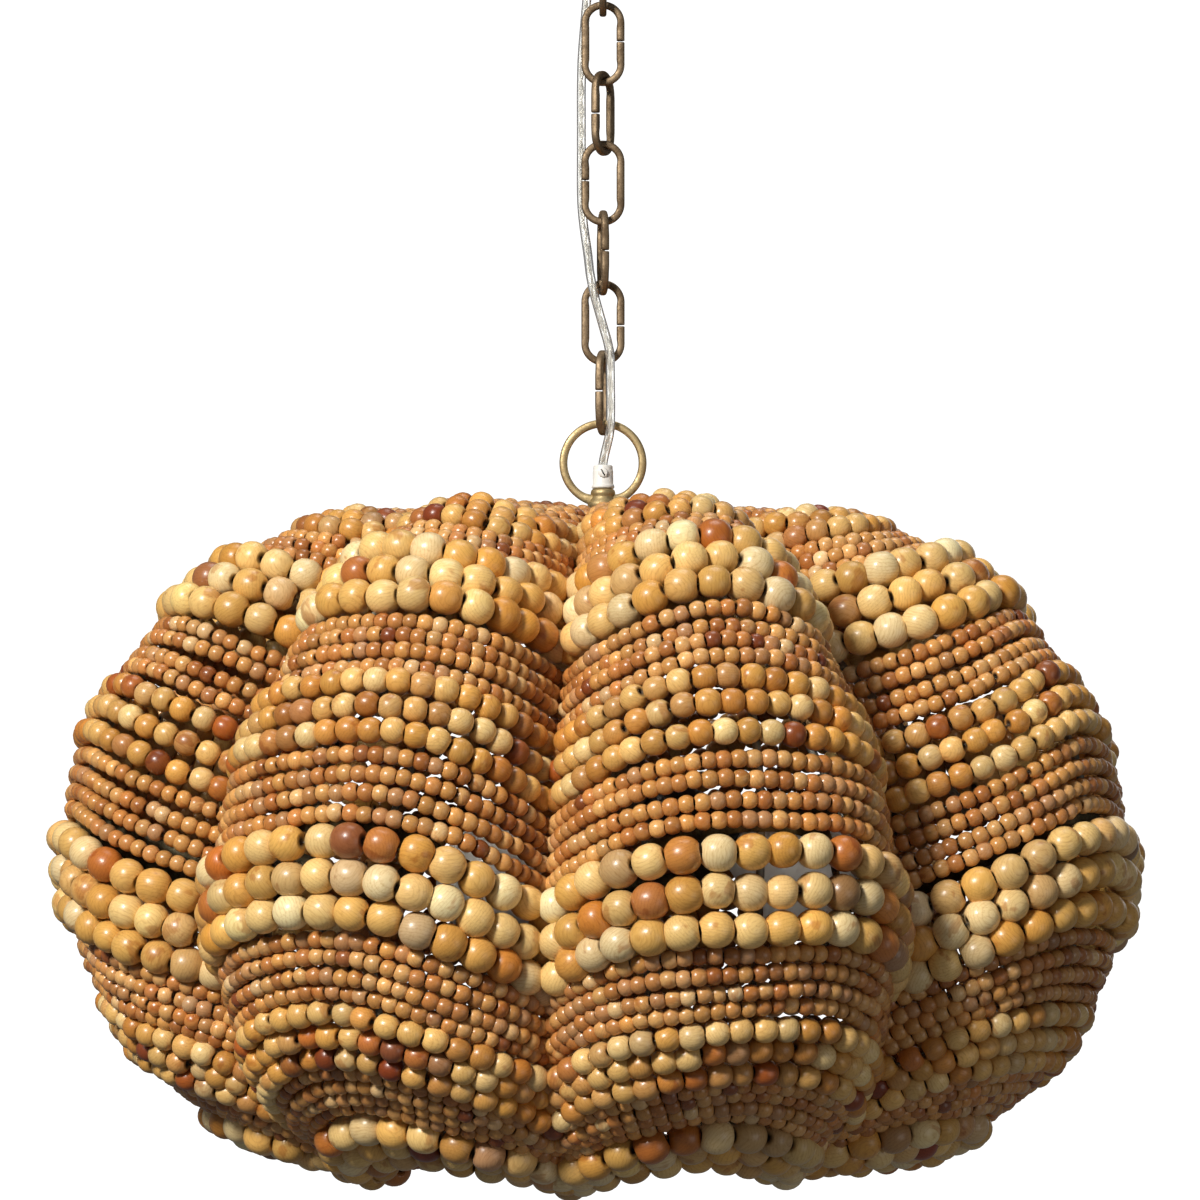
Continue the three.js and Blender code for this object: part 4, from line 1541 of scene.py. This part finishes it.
@dataclass
class BeadForm:
    """A turned bead about its drilled axis X, one unit across, with squared shoulders."""

    segments: int
    squareness: float
    half_length: float
    hole: float
    steps: int
    depth: float = 0.14

    def unit(self) -> tuple[Form, np.ndarray, np.ndarray]:
        """Makes the bead.

        Returns:
            The form, the bead-local point of each vertex, and the share of painted hole shade on
            each one.
        """
        at = self.half_length * np.sin(np.linspace(0, math.pi / 2, self.steps + 1)[::-1])
        radius = 0.5 * (1 - (at / 0.5) ** self.squareness) ** (1 / self.squareness)
        side = list(zip(at, radius))
        end = [(self.half_length - self.depth, self.hole), (self.half_length - 0.012, self.hole)]
        half = end + side
        profile = np.array(half[:-1] + [(-x, r) for x, r in half[::-1]])
        # Painted shade: the points inside the drilled hole are marked to go near black.
        half_bore_shade = [1.0, 0.9] + [0.0] * len(side)
        bore_shade = np.array(half_bore_shade[:-1] + half_bore_shade[::-1])
        angle = np.linspace(0, TAU, self.segments, endpoint=False)
        rows = np.stack([
            np.repeat(profile[:, :1], self.segments, 1),
            profile[:, 1:] * np.cos(angle)[None],
            profile[:, 1:] * np.sin(angle)[None],
        ], -1)
        form = grid(rows)
        form.faces = [f[:, ::-1] for f in form.faces]
        count, size = rows.shape[:2]
        run = run_along(profile)
        skin = grid_uvs(0.03 + 0.94 * run / run[-1], 0.03 + 0.94 * np.arange(size + 1) / size)
        ring = np.arange(size)
        form.faces += [ring[None], ((count - 1) * size + ring)[::-1][None]]
        circle = np.stack([np.cos(angle), np.sin(angle)], -1) * 0.008
        form.corner_uvs = [
            skin[..., ::-1], (circle + [0.5, 0.012])[None], (circle[::-1] + [0.5, 0.988])[None],
        ]
        return form, form.points, np.repeat(bore_shade, size)


@dataclass
class BeadStrings:
    """All the strings of beads, each laid round the cage's lobes and creases."""

    surface: CageSurface
    equator: float = -546.49
    seed: int = 20
    bands: tuple[tuple[BeadSize, int], ...] = (
        (BeadSize.SMALL, 10), (BeadSize.MEDIUM, 3), (BeadSize.SMALL, 3), (BeadSize.LARGE, 3),
        (BeadSize.SMALL, 4), (BeadSize.MEDIUM, 3), (BeadSize.SMALL, 4), (BeadSize.LARGE, 3),
        (BeadSize.SMALL, 4), (BeadSize.MEDIUM, 3), (BeadSize.SMALL, 4), (BeadSize.LARGE, 3),
        (BeadSize.SMALL, 5),
    )
    steps: int = 240
    closeness: float = 0.96
    most_push: float = 0.3
    foot_start: float = 0.78
    foot_ease: float = 0.1
    foot_calm: float = 0.75
    drape: float = 2.4
    drape_waves: tuple[tuple[int, float], ...] = ((5, 7.0), (9, -9.0), (14, 11.0))
    drape_swell: float = 0.35
    sway_waves: tuple[int, ...] = (3, 8, 13, 21, 34)
    askew: float = 0.085
    sunk_share: float = 0.06
    sunk_depth: tuple[float, float] = (0.1, 0.26)
    gap_scatter: float = 0.012
    size_scatter: float = 0.022
    shape_scatter: float = 0.018
    place_scatter: tuple[float, float, float] = (0.016, 0.016, 0.024)
    grain_reach: float = 900.0
    thread_radius: float = 0.45
    thread_sides: int = 4

    @property
    def planned(self) -> float:
        """Length that all the rows take up before they are fitted to the cage."""
        return sum(size.pitch * count for size, count in self.bands)

    @property
    def edges(self) -> np.ndarray:
        """Shares of the crest line where the bands meet."""
        widths = [size.pitch * count for size, count in self.bands]
        return np.concatenate([[0], np.cumsum(widths)]) / self.planned

    def rows(self) -> list[Row]:
        """Places every string along the crest line.

        Returns:
            The strings' places, from the top down.
        """
        planned, rows, at = self.planned, [], 0.0
        for band, (size, count) in enumerate(self.bands):
            for _ in range(count):
                rows.append(Row(len(rows), band, size, (at + size.pitch / 2) / planned))
                at += size.pitch
        return rows

    def lines(self, rows: list[Row]) -> np.ndarray:
        """Radius and height of every string round a lobe.

        Where the creases crowd the rows, neighbours step in and out in turn.

        Args:
            rows: The strings.

        Returns:
            Rows by steps by radius and height.
        """
        across = np.linspace(-1, 1, self.steps + 1)
        base = np.array([self.surface.outline(r.share, across, r.size.thickness / 2) for r in rows])
        sizes = np.array([r.size.diameter for r in rows])
        gap = np.linalg.norm(np.diff(base, axis=0), axis=-1)
        need = (sizes[1:] + sizes[:-1])[:, None] / 2 * self.closeness
        crowd = np.sqrt(np.clip(need**2 - gap**2, 0, None)) / 2
        crowd = np.minimum(crowd, self.most_push * need)
        padded = np.concatenate([crowd[:1], crowd, crowd[-1:]])
        shares = np.array([r.share for r in rows])
        low = np.clip((shares - self.foot_start) / self.foot_ease, 0, 1)
        push = np.maximum(padded[:-1], padded[1:]) * (1 - self.foot_calm * low)[:, None]
        along = np.gradient(base, axis=0)
        along /= np.linalg.norm(along, axis=-1, keepdims=True)
        outward = np.stack([-along[..., 1], along[..., 0]], -1)
        sign = np.array([1 if r.number % 2 else -0.4 for r in rows])[:, None, None]
        return base + outward * push[..., None] * sign

    def _centres(self, row: Row, line: np.ndarray, rng: np.random.Generator) -> np.ndarray:
        """Bead centres round one string, a bead at each crease and even steps between.

        Args:
            row: The string's place.
            line: Its radius and height round a lobe.
            rng: The seeded source.

        Returns:
            Centres in millimetres, in order round the shade.
        """
        turn = np.linspace(0, 1, self.steps + 1)
        arc = run_along(self.surface.around(turn, line))
        count = max(3, round(arc[-1] / row.size.spacing))
        stretch = arc[-1] / count
        centres = []
        for lobe in range(self.surface.lobes):
            at = np.arange(count) * stretch + rng.normal(0, self.gap_scatter, count) * stretch
            at[0] = 0.0
            local = np.interp(at, arc, turn)
            shape = np.stack([np.interp(local, turn, line[:, k]) for k in (0, 1)], -1)
            centres.append(self.surface.around(local + lobe, shape))
        return np.concatenate(centres)

    def _draped(self, centres: np.ndarray, row: Row) -> np.ndarray:
        """Lets neighbouring strings hang unevenly together, so that no two lobes are alike.

        Args:
            centres: The beads' centres.
            row: The string's place.

        Returns:
            The moved centres.
        """
        angle = np.arctan2(centres[:, 0], -centres[:, 1])
        held = self.drape * math.sin(math.pi * row.share) ** 0.7
        fall = sum(
            np.sin(k * angle + 2.3 * k + lean * row.share) / math.sqrt(n + 1)
            for n, (k, lean) in enumerate(self.drape_waves)
        )
        swell = np.sin(3 * angle + 5 * row.share) + np.sin(7 * angle - 8 * row.share)
        out = self._outwards(centres) * (self.drape_swell * held * swell)[:, None]
        return centres + out + np.stack([0 * fall, 0 * fall, held * fall], -1)

    @staticmethod
    def _outwards(centres: np.ndarray) -> np.ndarray:
        """Level directions away from the shade's axis."""
        return centres * [1, 1, 0] / np.linalg.norm(centres[:, :2], axis=1)[:, None]

    def _swayed(self, centres: np.ndarray, row: Row, rng: np.random.Generator) -> np.ndarray:
        """Lets a string wander a little up, down, in and out between the ribs.

        Args:
            centres: The beads' centres.
            row: The string's place.
            rng: The seeded source.

        Returns:
            The moved centres.
        """
        angle = np.arctan2(centres[:, 0], -centres[:, 1])
        out_wave, up_wave = (
            sum(
                rng.normal(0, 1) / math.sqrt(k) * np.sin(k * angle + rng.uniform(0, TAU))
                for k in self.sway_waves
            )
            for _ in range(2)
        )
        amount, diameter = row.size.sway, row.size.diameter
        centres = centres + self._outwards(centres) * (out_wave * amount * 0.6)[:, None]
        centres = centres + np.stack([0 * up_wave, 0 * up_wave, up_wave * amount], -1)
        one_each = (len(centres), 1)
        sunk = rng.uniform(*self.sunk_depth, one_each) * (rng.random(one_each) < self.sunk_share)
        centres = centres - self._outwards(centres) * sunk * diameter
        return centres + rng.normal(0, 1, centres.shape) * diameter * self.place_scatter

    def _oriented(self, centres: np.ndarray, rng: np.random.Generator) -> np.ndarray:
        """Rotations that lay each bead along its string, a little askew and rolled at random.

        Args:
            centres: The beads' centres.
            rng: The seeded source.

        Returns:
            One rotation matrix for each bead.
        """
        along = np.roll(centres, -1, 0) - np.roll(centres, 1, 0)
        along /= np.linalg.norm(along, axis=1)[:, None]
        along = along + rng.normal(0, self.askew, along.shape)
        along /= np.linalg.norm(along, axis=1)[:, None]
        out = np.cross(along, np.array([0.0, 0.0, 1.0]))
        out /= np.linalg.norm(out, axis=1)[:, None]
        up = np.cross(along, out)
        roll = rng.uniform(0, TAU, len(centres))[:, None]
        first = np.cos(roll) * out + np.sin(roll) * up
        second = np.cross(along, first)
        return np.stack([along, first, second], -1)

    def string(self, row: Row, line: np.ndarray, form: BeadForm, palette: Palette) -> Form:
        """Threads one string.

        Args:
            row: Its place.
            line: Its radius and height round a lobe.
            form: The bead.
            palette: The beads' tones.

        Returns:
            Beads and wire, placed about the ceiling's origin.
        """
        rng = np.random.default_rng(self.seed + 31 * row.number)
        centres = self._swayed(self._draped(self._centres(row, line, rng), row), row, rng)
        unit, local, depth = form.unit()
        count, size = len(centres), len(unit.points)
        turn = self._oriented(centres, rng)
        scale = row.size.diameter * (1 + rng.normal(0, self.size_scatter, (count, 1)))
        shape = scale[:, None] * (1 + rng.normal(0, self.shape_scatter, (count, 1, 3)))
        points = np.einsum("nij,nvj->nvi", turn, local[None] * shape) + centres[:, None]
        cut = np.linalg.qr(rng.normal(size=(count, 3, 3)))[0]
        place = rng.uniform(-self.grain_reach, self.grain_reach, (count, 1, 3))
        grain = np.einsum("nij,vj->nvi", cut, local) * row.size.diameter + place
        colour = palette.pick(rng, count)
        # Each bead's own tone, with the painted hole shade in the fourth channel.
        tone = np.concatenate([
            np.repeat(colour[:, None], size, 1), np.repeat(depth[None, :, None], count, 0)
        ], -1)
        wire = swept(centres, self.thread_radius, self.thread_sides, closed=True)
        plain = np.zeros((len(wire.points), 4))
        shift = (np.arange(count) * size)[:, None, None]
        faces = [(f[None] + shift).reshape(-1, f.shape[1]) for f in unit.faces]
        return Form(
            np.concatenate([points.reshape(-1, 3), wire.points]) * MM + [0, 0, self.equator * MM],
            faces + [f + count * size for f in wire.faces],
            [0] * len(faces) + [1],
            self._tiled_uvs(unit, count),
            {
                "tone": np.concatenate([tone.reshape(-1, 4), plain]),
                "grain": np.concatenate([grain.reshape(-1, 3), plain[:, :3]]),
            },
        )

    def _tiled_uvs(self, unit: Form, count: int) -> list[np.ndarray]:
        """Corner coordinates of a whole string, each bead and the wire in a tile of its own.

        Args:
            unit: The bead.
            count: Number of beads.

        Returns:
            Coordinates in the order of the string's faces.
        """
        tiles = math.ceil(math.sqrt(count + 1))
        number = np.arange(count + 1)
        corner = np.stack([number % tiles, number // tiles], -1) / tiles
        beads = [
            (uv[None] / tiles + corner[:count, None, None]).reshape(-1, *uv.shape[1:])
            for uv in unit.corner_uvs
        ]
        wire = grid_uvs(0.05 + 0.9 * number / count, 0.05 + 0.22 * np.arange(self.thread_sides + 1))
        return beads + [wire / tiles + corner[count]]

    def build(self) -> None:
        """Makes every string and lets it stand for its band."""
        kinds = {
            BeadSize.SMALL: (BeadForm(12, 2.15, 0.408, 0.13, 5), Finish.SMALL_WOOD),
            BeadSize.MEDIUM: (BeadForm(18, 2.2, 0.445, 0.1, 7), Finish.MEDIUM_WOOD),
            BeadSize.LARGE: (BeadForm(26, 2.2, 0.452, 0.085, 9), Finish.LARGE_WOOD),
        }
        rows = self.rows()
        for row, line in zip(rows, self.lines(rows)):
            word = row.size.word
            bead, wood = kinds[row.size]
            form = self.string(row, line, bead, PALETTES[row.size])
            put(form, f"string_{row.number + 1:02d}_{word}", [wood, Finish.THREAD], SHADE,
                [f"band_{row.band + 1:02d}_{word}"])


@dataclass
class Cage:
    """Ribs, hoops, hub and stem inside the beads."""

    surface: CageSurface
    equator_share: float
    equator: float = -546.49
    wire: float = 4.0
    gap: float = 0.3
    hub_radius: float = 25.0
    hub_plate: float = -364.6
    hub_top: float = -360.3

    def _at_equator(self, form: Form) -> Form:
        """A form that is made about the equator, at its place."""
        return form.moved(Matrix.Translation((0, 0, self.equator * MM)))

    def _rib(self, turn: float) -> Form:
        """A bent rib under a crest or a crease.

        Args:
            turn: Where it runs, in lobes from the first valley.

        Returns:
            The rib.
        """
        across = np.array([2 * (turn - math.floor(turn)) - 1])
        shares = np.linspace(0.0, 1.0, 60)
        offset = -self.gap - self.wire / 2
        line = np.array([self.surface.outline(s, across)[0] for s in shares])
        along = np.gradient(line, axis=0)
        along /= np.linalg.norm(along, axis=1)[:, None]
        line = line + offset * np.stack([-along[:, 1], along[:, 0]], -1)
        start = np.array([[self.hub_radius - 1.0, line[0][1]]])
        line = np.concatenate([start, line])
        path = self.surface.around(np.full(len(line), turn), line)
        return swept(path * MM, self.wire / 2 * MM, 10)

    def _hoop(self, share: float, depth: float, height: float, thick: float) -> Form:
        """A flat strip round the inside of the ribs.

        Args:
            share: Share of the crest line where its middle runs.
            depth: How far inside the surface its outer face lies.
            height: Its height.
            thick: Its thickness.

        Returns:
            The strip.
        """
        turns = np.array([n + s for n in range(self.surface.lobes) for s in (0.0, 0.36, 0.64)])
        across = 2 * (turns % 1) - 1
        line = self.surface.outline(share, across)
        line[:, 0] -= depth
        path = smooth_curve(self.surface.around(turns, line), 10, closed=True)
        out = path * [1, 1, 0]
        out /= np.linalg.norm(out, axis=1)[:, None]
        up = np.array([0, 0, height / 2])
        rim = 0.35
        edge = 1 - rim / height
        section = [(-rim, 1), (rim - thick, 1), (-thick, edge), (-thick, -edge),
                   (rim - thick, -1), (-rim, -1), (0, -edge), (0, edge)]
        rows = np.stack([path + out * a + up * b for a, b in section], 1)
        form = grid(rows * MM, closed=True)
        form.faces = [f[:, ::-1] for f in form.faces]
        return form

    def build(self) -> None:
        """Makes the cage, the hub, its nut and the stem."""
        for lobe in range(self.surface.lobes):
            for word, turn in (("crest", lobe + 0.5), ("valley", float(lobe))):
                node = f"{word}_rib_{lobe + 1}"
                put(self._at_equator(self._rib(turn)), f"{node}_wire", Finish.CAGE, SHADE, [node])
        middle = self._hoop(self.equator_share, depth=4.6, height=12.0, thick=2.0)
        put(self._at_equator(middle), "equator_strip", Finish.STRIP, SHADE, ["equator_hoop"])
        mouth = self._hoop(1.0, depth=3.4, height=8.0, thick=3.0)
        put(self._at_equator(mouth), "mouth_strip", Finish.STRIP, SHADE, ["bottom_hoop"])
        plate, top = self.hub_plate, self.hub_top
        hub = turned([
            (4.3, plate - 10), (24.0, plate - 10), (24.6, plate - 9), (24.6, plate - 1),
            (24.0, plate), (9.5, plate), (8.0, plate + 1.2), (8.0, top), (4.3, top),
        ], 64, 0.5, closed=True)
        put(hub, "hub_plate", Finish.STEEL, SHADE, ["top_hub"])
        nut = hex_nut(plate - 13.9, plate - 10.3)
        put(nut, "hub_hex_nut", Finish.STEEL, SHADE, ["lock_nut"])
        put(threaded(-485.5, -354.0), "threaded_stem", Finish.STEEL, SHADE, ["stem"])


@dataclass
class LampCluster:
    """Turned cluster body with three lampholders and bulbs."""

    centre: float = -494.49
    tilt: float = 62.0
    count: int = 3

    def _aim(self, number: int) -> Matrix:
        """Leans a piece that hangs straight down towards the numbered place.

        Args:
            number: The place's number.

        Returns:
            The placing matrix.
        """
        lean = Matrix.Rotation(-math.radians(self.tilt), 4, "Y")
        turn = Matrix.Rotation(TAU * number / self.count, 4, "Z")
        return Matrix.Translation((0, 0, self.centre * MM)) @ turn @ lean

    def build(self) -> None:
        """Makes the cluster, the lampholders and the bulbs."""
        body = turned([
            (0, -15), (10.5, -15), (13, -14.2), (19, -11), (21.8, -6.5), (22, -1), (21.2, 1),
            (22, 3), (22, 7), (19, 11), (12, 13.4), (8, 15), (4.3, 15), (4.3, 8.7), (0, 8.7),
        ], 72, 0.8).moved(Matrix.Translation((0, 0, self.centre * MM)))
        boss = turned([
            (0, -26), (12.4, -26), (12.9, -25.4), (12.9, -22), (11.5, -20), (11.5, -3), (0, -3),
        ], 48, 0.3)
        bosses = [boss.moved(self._aim(i)) for i in range(self.count)]
        put(together([body, *bosses]), "cluster_turning", Finish.BRASS, SHADE, ["cluster_body"])
        holder = turned([
            (0, -26.3), (9.6, -26.3), (10.2, -27.5), (12.5, -31), (14.6, -37.5), (14.8, -46),
            (14.3, -47.2), (14.8, -48.4), (14.8, -73.5), (14.3, -76.3), (13.2, -76.3),
            (13.0, -75.5), (13.0, -38.3), (0, -38.3),
        ], 56, 0.35)
        base: Profile = [(0, -38.6), (3.2, -38.8), (5.0, -40.2), (8.6, -42.4), (12.0, -44.6)]
        depth = -45.4
        while depth > -70:
            base += [(12.7, depth - 0.8), (12.0, depth - 2.2)]
            depth -= 2.9
        lamp = turned(base + [
            (12.6, -73.5), (12.4, -76.8), (13.6, -80), (16.8, -86), (21.5, -93), (26.4, -101),
            (29.2, -110), (30.0, -118), (28.8, -127), (24.8, -135.5), (18.0, -142), (9.5, -145.8),
            (0, -146.6),
        ], 56, 0.5)
        for i in range(self.count):
            put(holder.moved(self._aim(i)), f"lampholder_{i + 1}", Finish.BLACK_PLASTIC, SHADE,
                [f"socket_{i + 1}"])
            put(lamp.moved(self._aim(i)), f"lamp_{i + 1}", Finish.GLASS, SHADE, [f"bulb_{i + 1}"])


def main() -> None:
    """Builds the chandelier's pieces in order."""
    logging.basicConfig(level=logging.INFO, format="%(name)s %(message)s")
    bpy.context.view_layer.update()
    studio = Studio()
    studio.camera()
    chain = Chain()
    LampCord().build(chain.heights)
    studio.build()
    chain.build()
    HangingRing().build()
    CeilingFitting().build()
    surface = CageSurface()
    strings = BeadStrings(surface)
    Cage(surface, strings.edges[EQUATOR_BAND]).build()
    LampCluster().build()
    strings.build()
    LOG.info("sizes written")


if __name__ == "__main__":
    main()
